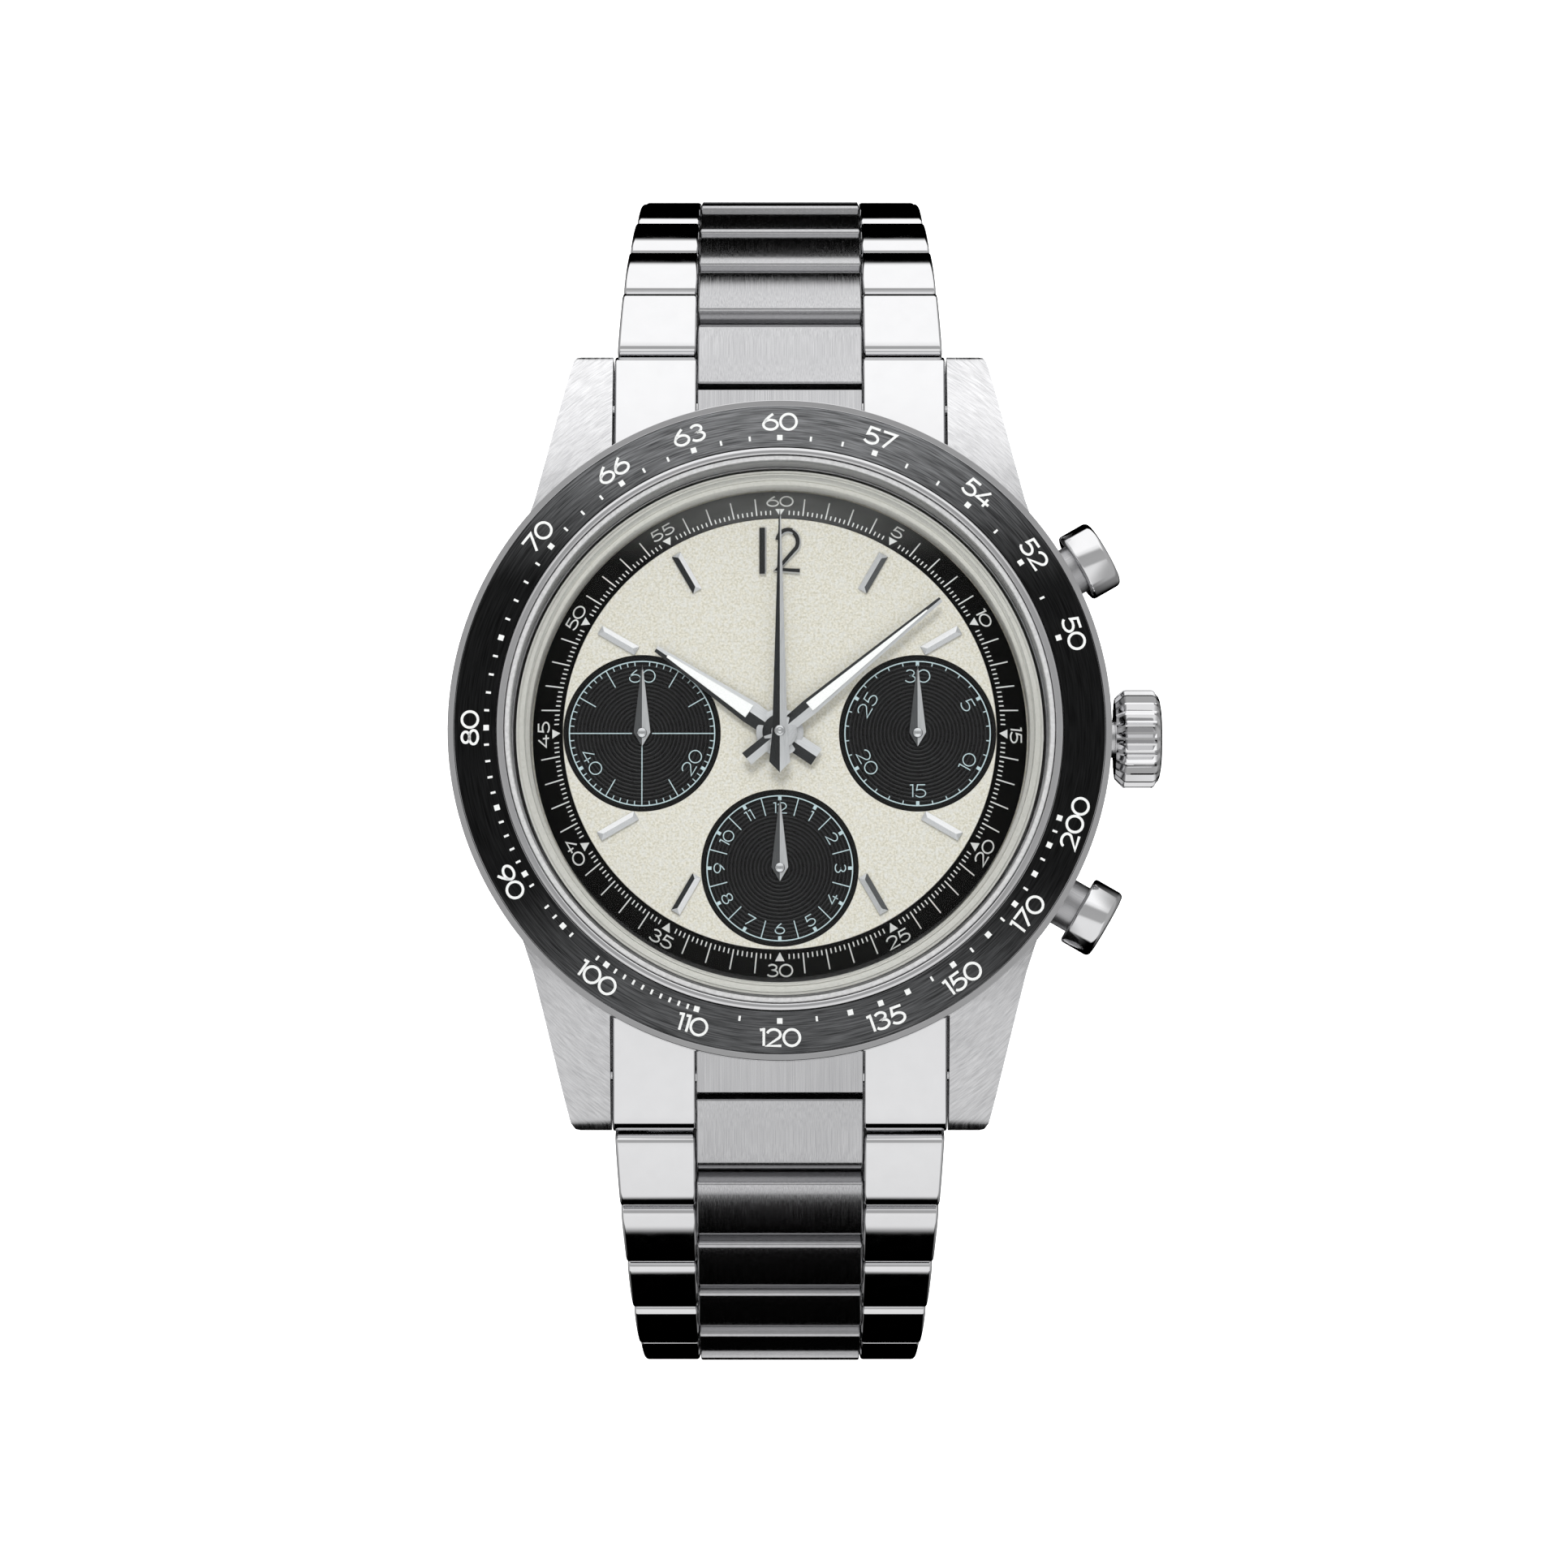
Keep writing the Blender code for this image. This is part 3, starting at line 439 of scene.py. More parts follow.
def boolean(base, other, operation):
    target = bpy.data.objects.new("target", base)
    tool = bpy.data.objects.new("tool", other)
    for obj in (target, tool):
        bpy.context.scene.collection.objects.link(obj)
    mod = target.modifiers.new("cut", "BOOLEAN")
    mod.object, mod.operation, mod.solver = tool, operation, "EXACT"
    graph = bpy.context.evaluated_depsgraph_get()
    result = bpy.data.meshes.new_from_object(target.evaluated_get(graph))
    bpy.data.objects.remove(target)
    bpy.data.objects.remove(tool)
    return result


def drill(mesh, radius, low, high, segments, place=Matrix()):
    """Takes a cylinder along the Z axis of `place` out of the mesh."""
    return boolean(mesh, moved(turned([(radius, low), (radius, high)], segments), place), "DIFFERENCE")


def tone(mesh, rule, index=1):
    """Gives the faces whose normal meets the rule another of the piece's materials: painted light or painted
    shade.
    """
    for face in mesh.polygons:
        if rule(face.normal):
            face.material_index = index
    return mesh


def piece(name, mesh, looks, body, replaces=(), place=None, bevel=0.0, segments=2, angle=30.0):
    """Adds a mesh made in millimetres; `place` is its own frame, whose axes its grain follows."""
    if place is not None:
        mesh.transform(place.inverted())
    mesh.transform(Matrix.Scale(MM, 4))
    mesh.name = name
    shades = [face.material_index for face in mesh.polygons]
    mesh.materials.clear()
    for look in ([looks] if isinstance(looks, str) else looks):
        mesh.materials.append(LOOKS[look])
    mesh.polygons.foreach_set("material_index", shades)
    mesh.polygons.foreach_set("use_smooth", [True] * len(mesh.polygons))
    mesh.set_sharp_from_angle(angle=math.radians(angle))
    obj = bpy.data.objects.new(name, mesh)
    if place is not None:
        obj.matrix_world = Matrix.Translation(place.translation * MM) @ place.to_3x3().to_4x4()
    bpy.context.scene.collection.objects.link(obj)
    if bevel:
        mod = obj.modifiers.new("edges", "BEVEL")
        mod.width, mod.segments = bevel * MM, segments
        mod.limit_method, mod.angle_limit = "ANGLE", math.radians(angle)
        mod.harden_normals = True
        mod.use_clamp_overlap = True
    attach(obj, body)
    if replaces:
        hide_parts(*([replaces] if isinstance(replaces, str) else replaces))
    return obj


# ---- numerals

def glyph(ch):
    """Strokes of a wide round figure one unit tall, with its width."""
    if ch == "0":
        return [(ellipse(0.5, 0.5, 0.5, 0.5, 0, 360, 28)[:-1], True)], 1.0
    if ch == "1":
        return [([(0.02, 0.97), (0.26, 1.0), (0.26, 0.0)], False)], 0.28
    if ch == "2":
        top = ellipse(0.43, 0.68, 0.41, 0.32, 165, -38, 16)
        return [(top + [(0.02, 0.0), (0.90, 0.0)], False)], 0.88
    if ch == "3":
        up = ellipse(0.40, 0.76, 0.34, 0.24, 150, -90, 12)
        low = ellipse(0.40, 0.27, 0.42, 0.27, 90, -155, 14)
        return [(up, False), ([(0.40, 0.52), (0.40, 0.54)] + low, False)], 0.84
    if ch == "4":
        return [([(0.62, 1.0), (0.02, 0.27), (0.98, 0.27)], False),
                ([(0.70, 0.58), (0.70, 0.0)], False)], 0.98
    if ch == "5":
        bowl = ellipse(0.42, 0.31, 0.44, 0.31, 120, -150, 16)
        return [([(0.82, 1.0), (0.20, 1.0), (0.13, 0.55)] + bowl[1:], False)], 0.88
    if ch == "6":
        stem = [(0.62, 1.0), (0.40, 0.84), (0.16, 0.60), (0.03, 0.38)]
        return [(stem + ellipse(0.46, 0.31, 0.44, 0.31, 170, 520, 24), False)], 0.92
    if ch == "7":
        return [([(0.0, 1.0), (0.84, 1.0), (0.24, 0.0)], False)], 0.84
    if ch == "8":
        return [(ellipse(0.44, 0.76, 0.34, 0.24, 0, 360, 20)[:-1], True),
                (ellipse(0.44, 0.27, 0.43, 0.27, 0, 360, 24)[:-1], True)], 0.88
    stem, width = glyph("6")[0][0][0], 0.92
    return [([(width - x, 1 - y) for x, y in stem], False)], width


def text_strokes(text, height, gap=0.16, stretch=1.0):
    """Strokes of a number centred on the origin."""
    lines, x = [], 0.0
    for ch in text:
        strokes, width = glyph(ch)
        for points, closed in strokes:
            lines.append(([((x + px * stretch) * height, (py - 0.5) * height) for px, py in points], closed))
        x += width * stretch + gap
    shift = (x - gap) * height / 2
    return [([(px - shift, py) for px, py in points], closed) for points, closed in lines]


def mitre(points, i, closed, width, sharpest):
    """A point of a stroke, the direction across it there, and how far its edge lies that way."""
    count = len(points)
    p = Vector(points[i])
    before = Vector(points[i - 1]) if (i or closed) else None
    after = Vector(points[(i + 1) % count]) if (i < count - 1 or closed) else None
    d0 = (p - before).normalized() if before is not None else (after - p).normalized()
    d1 = (after - p).normalized() if after is not None else d0
    across = Vector((-(d0 + d1).y, (d0 + d1).x)).normalized()
    return p, across, width / 2 / max(sharpest, across.dot(Vector((-d1.y, d1.x))))


def ribbon(bm, points, closed, width, height_at, up=PRINT_UP):
    """A printed stroke: a thin closed solid that follows the surface under it."""
    rows = []
    for i in range(len(points)):
        p, across, reach = mitre(points, i, closed, width, 0.5)
        a, b = p + across * reach, p - across * reach
        za, zb = height_at(a.x, a.y), height_at(b.x, b.y)
        rows.append([bm.verts.new((a.x, a.y, za + up)), bm.verts.new((b.x, b.y, zb + up)),
                     bm.verts.new((b.x, b.y, zb - PRINT_DOWN)), bm.verts.new((a.x, a.y, za - PRINT_DOWN))])
    skin(bm, rows, closed)


def clock_point(radius, degrees, across=0.0, centre=(0.0, 0.0)):
    """A point on a dial: degrees run clockwise from 12, `across` is to the right seen from outside."""
    a = math.radians(degrees)
    s, c = math.sin(a), math.cos(a)
    return (centre[0] + radius * s + across * c, centre[1] + radius * c - across * s)


def dial_text(bm, text, height, radius, degrees, inward, width, height_at, centre=(0, 0), stretch=1.0):
    for points, closed in text_strokes(text, height, stretch=stretch):
        placed = []
        for x, y in points:
            if inward:
                x, y = -x, -y
            placed.append(clock_point(radius + y, degrees, x, centre))
        ribbon(bm, placed, closed, width, height_at)


def tick(bm, r0, r1, degrees, width, height_at, centre=(0, 0)):
    a, b = clock_point(r0, degrees, 0, centre), clock_point(r1, degrees, 0, centre)
    ribbon(bm, [a, b], False, width, height_at)


def flat_at(z):
    return lambda x, y: z


# ---- case and bezel

def lug(sx, sy):
    """One lug: its plan cut by its side outline, mirrored to its corner."""
    plan = [(10.15, 9.0), (10.15, 23.5), (12.05, 23.5), (12.36, 23.42), (12.53, 23.2), (12.62, 22.9),
            (12.95, 21.6), (13.5, 19.3), (14.1, 16.8), (14.75, 14.2), (15.6, 11.6), (16.6, 9.4),
            (17.6, 7.6), (15.0, 7.0), (12.0, 7.0)]
    side = [(6.0, 7.9), (12.0, 7.6), (14.0, 7.32), (16.0, 6.95), (18.0, 6.45), (19.8, 5.86), (21.4, 5.25),
            (22.6, 4.7), (23.2, 4.3), (23.48, 3.9), (23.5, 3.2), (23.5, 1.9), (23.4, 1.35), (23.0, 0.92),
            (22.3, 0.68), (21.2, 0.62), (19.5, 0.74), (17.5, 0.98), (14.0, 1.5), (6.0, 1.6)]
    body = boolean(prism(plan, 0.0, 9.0), prism(side, 5.0, 20.0, "x"), "INTERSECT")
    bm = bmesh.new()
    bm.from_mesh(moved(drill(body, 17.9, -1.0, 9.0, 96), Matrix.Diagonal((sx, sy, 1, 1))))
    return mesh_from(bm)


def build_mid_case():
    ring = lathe([(17.6, 1.3), (18.5, 1.3), (18.95, 1.55), (CASE_R, 2.1), (CASE_R, 7.5), (19.05, 7.8),
                  (18.8, 8.0), (15.95, 8.0), (15.9, 7.7), (15.9, 2.1), (17.6, 2.1)], 160)
    for sx in (1, -1):
        for sy in (1, -1):
            ring = boolean(ring, lug(sx, sy), "UNION")
    outward = at(0, 0, CROWN_Z) @ to_x()
    ring = boolean(ring, moved(turned([(1.15, 18.0), (1.15, 20.8), (1.05, 20.9)], 48), outward), "UNION")
    ring = drill(ring, 0.62, 15.0, 22.0, 32, outward)
    for angle in (PUSHER_ANGLE, -PUSHER_ANGLE):
        outward = at(0, 0, CROWN_Z) @ spin_z(angle) @ to_x()
        ring = drill(ring, 1.56, 16.6, 22.0, 48, outward)
        ring = drill(ring, 0.66, 15.0, 18.0, 24, outward)
    piece("mid_case_body", ring, "case", "case", "mid_case", bevel=0.13, angle=32)


def build_bezel():
    bezel = [(16.4, 8.05), (19.2, 8.05), (19.55, 8.35), (BEZEL_R, 8.75), (BEZEL_R, 10.12), (19.72, 10.15),
             (19.41, 10.152), (19.39, 10.19), (19.36, 10.17), (19.36, 9.85),
             (16.84, 9.85), (16.84, 10.52), (16.80, 10.60), (16.74, 10.64), (16.50, 10.66),
             (16.43, 10.63), (16.4, 10.55)]
    piece("bezel_body", lathe(bezel), "bezel", "case", "bezel_ring")
    insert = [(16.88, 9.9), (19.33, 9.9), (19.33, 10.21), (INSERT_R1, INSERT_Z1), (INSERT_R0, INSERT_Z0),
              (16.88, 10.53)]
    piece("insert_body", lathe(insert), "insert", "case", "tachymeter_insert")
    seal = [(16.05, 8.15), (16.35, 8.15), (16.35, 10.45), (16.3, 10.5), (16.1, 10.5), (16.05, 10.45)]
    piece("crystal_ring", lathe(seal), "gasket", "case", "crystal_gasket")


def build_case_back():
    back = [(13.6, 0.0), (14.0, 0.04), (17.0, 0.72), (17.3, 0.9), (17.5, 1.3), (17.5, 2.05), (16.85, 2.05),
            (16.85, 1.6), (16.15, 1.6), (16.15, 2.05), (15.8, 2.05), (15.8, 2.75), (15.0, 2.75), (14.6, 1.5)]
    lid = turned(back, 144)
    for k in range(6):
        notch = moved(box(-1.1, 1.1, 15.0, 16.6, -1.0, 0.95), spin_z(60 * k + 30))
        lid = boolean(lid, notch, "DIFFERENCE")
    ring_cut = lathe([(12.4, -0.5), (12.8, -0.5), (12.8, 0.12), (12.4, 0.12)], 144)
    lid = boolean(lid, ring_cut, "DIFFERENCE")
    piece("case_back_body", lid, "back", "case", "case_back")
    seal = lathe([(16.2, 1.64), (16.8, 1.64), (16.8, 2.02), (16.2, 2.02)], 96)
    piece("case_back_seal", seal, "rubber", "case", "case_back_gasket")


def tachymeter_angle(value):
    """Degrees from 12 that the seconds hand has turned when a kilometre has taken 3600 / value seconds."""
    return 6.0 * (3600.0 / value) % 360.0


def build_insert_print():
    def surface(x, y):
        r = min(max(math.hypot(x, y), INSERT_R0), INSERT_R1)
        return INSERT_Z0 + (r - INSERT_R0) / (INSERT_R1 - INSERT_R0) * (INSERT_Z1 - INSERT_Z0)
    bm = bmesh.new()
    for value in (60, 57, 54, 52, 50, 200, 170, 150, 135, 120, 110, 100, 90, 80, 70, 66, 63):
        angle = tachymeter_angle(value)
        dial_text(bm, str(value), 0.96, 18.4, angle, 90 < angle < 270, 0.155, surface)
    squares = (60, 57, 54, 52, 50, 200, 190, 180, 170, 160, 150, 140, 135, 130, 120, 110, 100, 95, 90,
               85, 80, 75, 70, 66, 63)
    for value in squares:
        tick(bm, 17.26, 17.59, tachymeter_angle(value), 0.33, surface)
    small = [195, 185, 175, 165, 155, 145, 125, 115] + list(range(101, 110))
    small += [v for v in range(51, 100) if v not in squares and v not in (92, 97, 98)]
    for value in small:
        tick(bm, 17.28, 17.58, tachymeter_angle(value), 0.13, surface)
    piece("insert_print", mesh_from(bm), "white", "case")


def build_crystal():
    outer = [(16.0, 8.45), (16.0, 11.0), (15.97, 11.2), (15.88, 11.42), (15.72, 11.64), (15.45, 11.86),
             (15.0, 12.06), (14.0, 12.33), (12.5, 12.6), (10.5, 12.85), (8.0, 13.03), (5.5, 13.13),
             (3.0, 13.18), (0.8, 13.2)]
    inner = [(0.8, 12.12), (3.0, 12.1), (7.0, 12.0), (10.5, 11.8), (13.0, 11.5), (14.3, 11.2),
             (14.9, 10.95), (15.15, 10.6), (15.2, 10.2), (15.2, 8.45)]
    obj = piece("crystal_dome", turned(inner + outer), "glass", "case", "crystal")
    obj.visible_shadow = False


# ---- dial

def applied_bar(half, y0, y1):
    """A long marker with a roof of two facets and sloped ends."""
    edge, ridge, end = 0.16, 0.32, 0.28
    z0 = DIAL_Z - 0.05
    low = [(-half, y0), (half, y0), (half, y1), (-half, y1)]
    bm = bmesh.new()
    base = [bm.verts.new((x, y, z0)) for x, y in low]
    rim = [bm.verts.new((x, y, DIAL_Z + edge)) for x, y in low]
    top = [bm.verts.new((0, y0 + end, DIAL_Z + ridge)), bm.verts.new((0, y1 - end, DIAL_Z + ridge))]
    bm.faces.new(base)
    for i in range(4):
        j = (i + 1) % 4
        bm.faces.new((base[i], base[j], rim[j], rim[i]))
    bm.faces.new((rim[0], rim[1], top[0]))
    bm.faces.new((rim[1], rim[2], top[1], top[0]))
    bm.faces.new((rim[2], rim[3], top[1]))
    bm.faces.new((rim[3], rim[0], top[0], top[1]))
    return mesh_from(bm)


def raised_stroke(bm, points, width):
    """A solid numeral stroke with bevelled edges, standing on the dial."""
    high, slope = 0.24, 0.08
    rows = []
    for i in range(len(points)):
        p, across, reach = mitre(points, i, False, width, 0.6)
        row = []
        for offset, z in ((-reach, -0.05), (-reach, high - slope), (slope - reach, high),
                          (reach - slope, high), (reach, high - slope), (reach, -0.05)):
            q = p + across * offset
            row.append(bm.verts.new((q.x, q.y, DIAL_Z + z)))
        rows.append(row)
    skin(bm, rows)


def build_dial_plate():
    plate = turned([(12.6, 7.1), (14.6, 5.5), (15.6, 5.5), (15.6, DIAL_RIM_Z), (14.88, DIAL_RIM_Z),
                    (12.97, 7.48), (12.97, DIAL_Z)], ROUND)
    for x, y in SUBDIALS.values():
        plate = drill(plate, 4.72, 7.3, 9.0, 128, at(x, y, 0))
        plate = drill(plate, SUB_BORE, 6.0, 9.0, 32, at(x, y, 0))
    plate = drill(plate, 1.1, 6.0, 9.0, 64)
    piece("dial_face", plate, "dial", "case", "dial_plate")


def build_markers():
    bars = []
    for hour in (1, 2, 4, 5, 7, 8, 10, 11):
        bar = moved(applied_bar(0.3, 9.9, 12.45), spin_z(-30 * hour))
        # Painted light and shade: facets that turn one way get the painted shade, half shade or highlight
        # copy.
        if hour in (7, 11):
            tone(bar, lambda v: v.x < -0.3, 1)
            tone(bar, lambda v: v.x > 0.3, 3)
        elif hour in (1, 5):
            tone(bar, lambda v: v.x > 0.3, 2)
        else:
            tone(bar, lambda v: v.y > 0.3, 3)
        bars.append(bar)
    piece("hour_markers", join(*bars), ("facet_light", "facet_dark", "facet_mid", "facet_white"), "case",
          bevel=0.02, segments=1)
    bm = bmesh.new()
    raised_stroke(bm, [(-1.02, 12.4), (-1.02, 9.6)], 0.42)
    raised_stroke(bm, ellipse(0.50, 11.55, 0.62, 0.70, 172, -34, 16) + [(-0.14, 9.86), (1.2, 9.76)], 0.32)
    # Painted shade on the twelve's top and on faces not turned right or toward 6; the rest is painted lit.
    numeral = tone(mesh_from(bm), lambda v: v.z > 0.95 or (v.x < 0.2 and v.y > -0.6))
    piece("applied_twelve", numeral, ("facet_light", "facet_dark"), "case")


def build_track_and_flange():
    track = [(TRACK_R0, TRACK_LIP_Z - 0.1), (TRACK_R1, TRACK_LOW_Z - TRACK_THICK), (TRACK_R1, TRACK_LOW_Z),
             (TRACK_KINK_R, TRACK_KINK_Z), (TRACK_LIP_R, TRACK_LIP_Z), (TRACK_R0, TRACK_LIP_Z + 0.01)]
    piece("track_face", lathe(track), "track", "case", "minute_track_ring")
    rehaut = [(14.95, 6.0), (15.75, 6.0), (15.75, 8.4), (15.62, 8.4), (15.62, 8.3), (15.59, 8.3),
              (15.59, 8.4), (15.40, 8.36), (15.22, 8.2), (15.22, 8.1), (15.19, 8.1), (15.19, 8.17),
              (15.0, 8.0), (14.96, 7.9)]
    piece("inner_flange", lathe(rehaut), "rehaut", "case", "rehaut_ring")


def build_track_print():
    bm = bmesh.new()
    surface = track_height
    for k in range(300):
        degrees = k * 1.2
        if k % 5 and min(k % 25, 25 - k % 25) > 1:
            tick(bm, 13.24, 13.53, degrees, 0.075, surface)
        elif k % 5 == 0 and k % 25:
            tick(bm, 13.24, 13.56, degrees, 0.08, surface)
            tick(bm, 13.54, 14.40, degrees, 0.08, surface)
    for k in range(12):
        degrees = 30.0 * k
        apex = clock_point(13.14, degrees)
        a, b = clock_point(13.64, degrees, -0.28), clock_point(13.64, degrees, 0.28)
        triangle(bm, apex, a, b, surface)
        number = 60 if k == 0 else 5 * k
        dial_text(bm, str(number), 0.66, 14.17, degrees, 100 < degrees < 260, 0.095, surface, stretch=1.15)
    piece("track_print", mesh_from(bm), "white", "case")


def track_height(x, y):
    """The sloping face of the minute track, which is steeper inside its fine scale."""
    r = math.hypot(x, y)
    if r > TRACK_KINK_R:
        share = (r - TRACK_KINK_R) / (TRACK_R1 - TRACK_KINK_R)
        return TRACK_KINK_Z + share * (TRACK_LOW_Z - TRACK_KINK_Z)
    share = (r - TRACK_LIP_R) / (TRACK_KINK_R - TRACK_LIP_R)
    return TRACK_LIP_Z + share * (TRACK_KINK_Z - TRACK_LIP_Z)


def triangle(bm, a, b, c, height_at):
    top = [bm.verts.new((x, y, height_at(x, y) + PRINT_UP)) for x, y in (a, b, c)]
    low = [bm.verts.new((x, y, height_at(x, y) - PRINT_DOWN)) for x, y in (a, b, c)]
    skin(bm, [top, low])


# Picks the sloped groove walls that get the painted glint.
def groove_wall(v):
    return 0.82 < v.z < 0.95


def build_subdials():
    printers = {"running": print_running, "minutes": print_minutes, "hours": print_hours}
    for key, (cx, cy) in SUBDIALS.items():
        profile = [(SUB_BORE, 7.32), (SUB_RIM_R, 7.32), (SUB_RIM_R, 7.56), (4.64, 7.60), (4.50, 7.60),
                   (4.45, 7.56), (4.43, SUB_Z)]
        grooves, r_out, r_in = 16, 4.24, 0.5
        step = (r_out - r_in) / grooves
        for k in range(grooves):
            r = r_out - k * step
            profile += [(r, SUB_Z), (r - step * 0.5, SUB_Z), (r - step * 0.95, SUB_Z - 0.05)]
        profile += [(r_in, SUB_Z), (SUB_BORE, SUB_Z)]
        # The groove walls get the painted glint.
        disc = tone(moved(lathe(profile, 144), at(cx, cy, 0)), groove_wall)
        piece("subdial_" + key, disc, ("subdial", "subdial_groove_painted_glint"), "case")
        bm = bmesh.new()
        surface = flat_at(SUB_Z)
        ring = [clock_point(SUB_RING_R, 2.5 * k, 0, (cx, cy)) for k in range(144)]
        ribbon(bm, ring, True, 0.07, surface, PRINT_UP + 0.005)
        printers[key](bm, (cx, cy), surface)
        piece("subdial_print_" + key, mesh_from(bm), "cyan", "case")


def print_running(bm, c, surface):
    for k in range(60):
        if k % 5:
            tick(bm, 4.08, SUB_TICK_R, 6 * k, 0.055, surface, c)
        elif k in (20, 40):
            tick(bm, 4.08, SUB_TICK_R, 6 * k, 0.2, surface, c)
        elif k not in (0, 15, 30, 45):
            tick(bm, 3.2, SUB_TICK_R, 6 * k, 0.06, surface, c)
    for degrees in (90, 180, 270):
        tick(bm, 0.6, SUB_TICK_R, degrees, 0.06, surface, c)
    for text, degrees in (("60", 0), ("20", 120), ("40", 240)):
        dial_text(bm, text, 0.74, 3.46, degrees, 90 < degrees < 270, 0.06, surface, c)


def print_minutes(bm, c, surface):
    for k in range(30):
        if k % 5:
            tick(bm, 4.13, SUB_TICK_R, 12 * k, 0.06, surface, c)
        else:
            tick(bm, 4.08, SUB_TICK_R, 12 * k, 0.2, surface, c)
    for text, degrees in (("30", 0), ("5", 60), ("10", 120), ("15", 180), ("20", 240), ("25", 300)):
        dial_text(bm, text, 0.74, 3.46, degrees, 100 < degrees < 260, 0.06, surface, c)


def print_hours(bm, c, surface):
    for k in range(12):
        tick(bm, 4.08, SUB_TICK_R, 30 * k, 0.2, surface, c)
        tick(bm, 3.25, SUB_TICK_R, 30 * k + 15, 0.06, surface, c)
        degrees = 30 * k
        inward = 100 < degrees < 260
        dial_text(bm, str(k or 12), 0.62, 3.62, degrees, inward, 0.06, surface, c)


# ---- hands

def faceted(stations, z_low, z_edge, z_ridge):
    """A blade with a ridge: stations of (distance along, half width)."""
    rings = []
    for y, half in stations:
        rings.append([(-half, y, z_low), (-half, y, z_edge), (0, y, z_ridge), (half, y, z_edge),
                      (half, y, z_low)])
    return from_rings(rings)


def kite(points, z_low, z_edge, z_ridge):
    """A pointed faceted blade."""
    bm = bmesh.new()
    full = points + [(-x, y) for x, y in reversed(points) if x > 1e-6]
    low = [bm.verts.new((x, y, z_low)) for x, y in full]
    edge = [bm.verts.new((x, y, z_edge)) for x, y in full]
    bm.faces.new(low)
    count = len(full)
    ridge = [bm.verts.new((0, y, z_ridge)) for x, y in points[1:-1]]
    for i in range(count):
        j = (i + 1) % count
        bm.faces.new((low[i], low[j], edge[j], edge[i]))
    inner = len(points)
    right = edge[:inner]
    left = [edge[0]] + [edge[count - k] for k in range(1, inner - 1)] + [edge[inner - 1]]
    line = [edge[0]] + ridge + [edge[inner - 1]]
    for side in (right, left):
        for k in range(inner - 1):
            corners = dict.fromkeys((line[k], line[k + 1], side[k + 1], side[k]))
            bm.faces.new(list(corners))
    return mesh_from(bm)


def strip(y0, w0, y1, w1, z_low, z_high):
    return prism([(-w0, y0), (w0, y0), (w1, y1), (-w1, y1)], z_low, z_high)


# Picks the left facets, which get painted shade.
def left_side(v):
    return v.x < -0.1


def build_main_hands():
    # Each hand's left facets carry the painted-shade copy of the steel, the right facets the painted-lit
    # copy.
    two = ("facet_light", "facet_dark")
    frames = {"hour": spin_z(-HOUR_ANGLE), "minute": spin_z(-MINUTE_ANGLE)}
    hour = tone(faceted([(-2.65, 0.58), (-1.0, 0.58), (0.0, 0.62), (2.2, 0.69), (8.95, 0.19)],
                        8.0, 8.04, 8.22), left_side)
    hub = turned([(1.42, 7.9), (1.42, 8.08), (1.36, 8.12), (0.9, 8.18)], 64)
    piece("hour_hand_metal", moved(join(hour, hub), frames["hour"]), two, "hours",
          "hour_hand", place=frames["hour"])
    lume = strip(2.2, 0.43, 8.15, 0.09, 8.1, 8.245)
    piece("hour_hand_lume", moved(lume, frames["hour"]), "lume", "hours",
          place=frames["hour"], bevel=0.02, segments=1)
    minute = tone(faceted([(-2.57, 0.44), (-1.0, 0.42), (0.0, 0.44), (2.3, 0.52), (12.5, 0.16)],
                          8.45, 8.49, 8.66), left_side)
    hub = turned([(1.04, 8.37), (1.04, 8.52), (1.0, 8.56), (0.5, 8.70)], 64)
    piece("minute_hand_metal", moved(join(minute, tone(hub, left_side)), frames["minute"]), two, "minutes",
          "minute_hand", place=frames["minute"])
    lume = strip(2.3, 0.32, 11.45, 0.05, 8.55, 8.685)
    piece("minute_hand_lume", moved(lume, frames["minute"]), "lume", "minutes",
          place=frames["minute"], bevel=0.02, segments=1)
    chrono = tone(kite([(0.0, 13.4), (0.07, 12.9), (0.45, 0.0), (0.63, -1.85), (0.0, -2.5)], 8.86, 8.9, 9.06),
                  left_side)
    piece("chronograph_hand_metal", chrono, two, "chronograph", "chronograph_seconds_hand")
    cap = turned([(0.32, 8.95), (0.33, 9.06), (0.32, 9.09), (0.28, 9.125), (0.2, 9.148), (0.15, 9.15),
                  (0.12, 9.13), (0.05, 9.11)], 48)
    piece("chronograph_hand_cap", cap, "hand", "chronograph")


def build_counter_hands():
    for node, key, body in (("running_seconds_hand", "running", "running_seconds"),
                            ("minute_counter_hand", "minutes", "minute_counter"),
                            ("hour_counter_hand", "hours", "hour_counter")):
        x, y = SUBDIALS[key]
        # Painted half shade on the left facets, the painted-lit copy on the right.
        small = tone(kite([(0.0, 4.15), (0.07, 3.8), (0.50, 0.05), (0.0, -0.8)], 7.6, 7.63, 7.8), left_side)
        piece(node + "_metal", moved(small, at(x, y, 0)), ("facet_light", "facet_mid"), body,
              node, place=at(x, y, 0))
        boss = turned([(0.30, 7.58), (0.30, 7.87), (0.27, 7.92), (0.20, 7.94), (0.16, 7.93), (0.13, 7.915),
                       (0.04, 7.91)], 40)
        piece(node + "_cap", moved(boss, at(x, y, 0)), "hand", body, place=at(x, y, 0))


# ---- crown and pushers

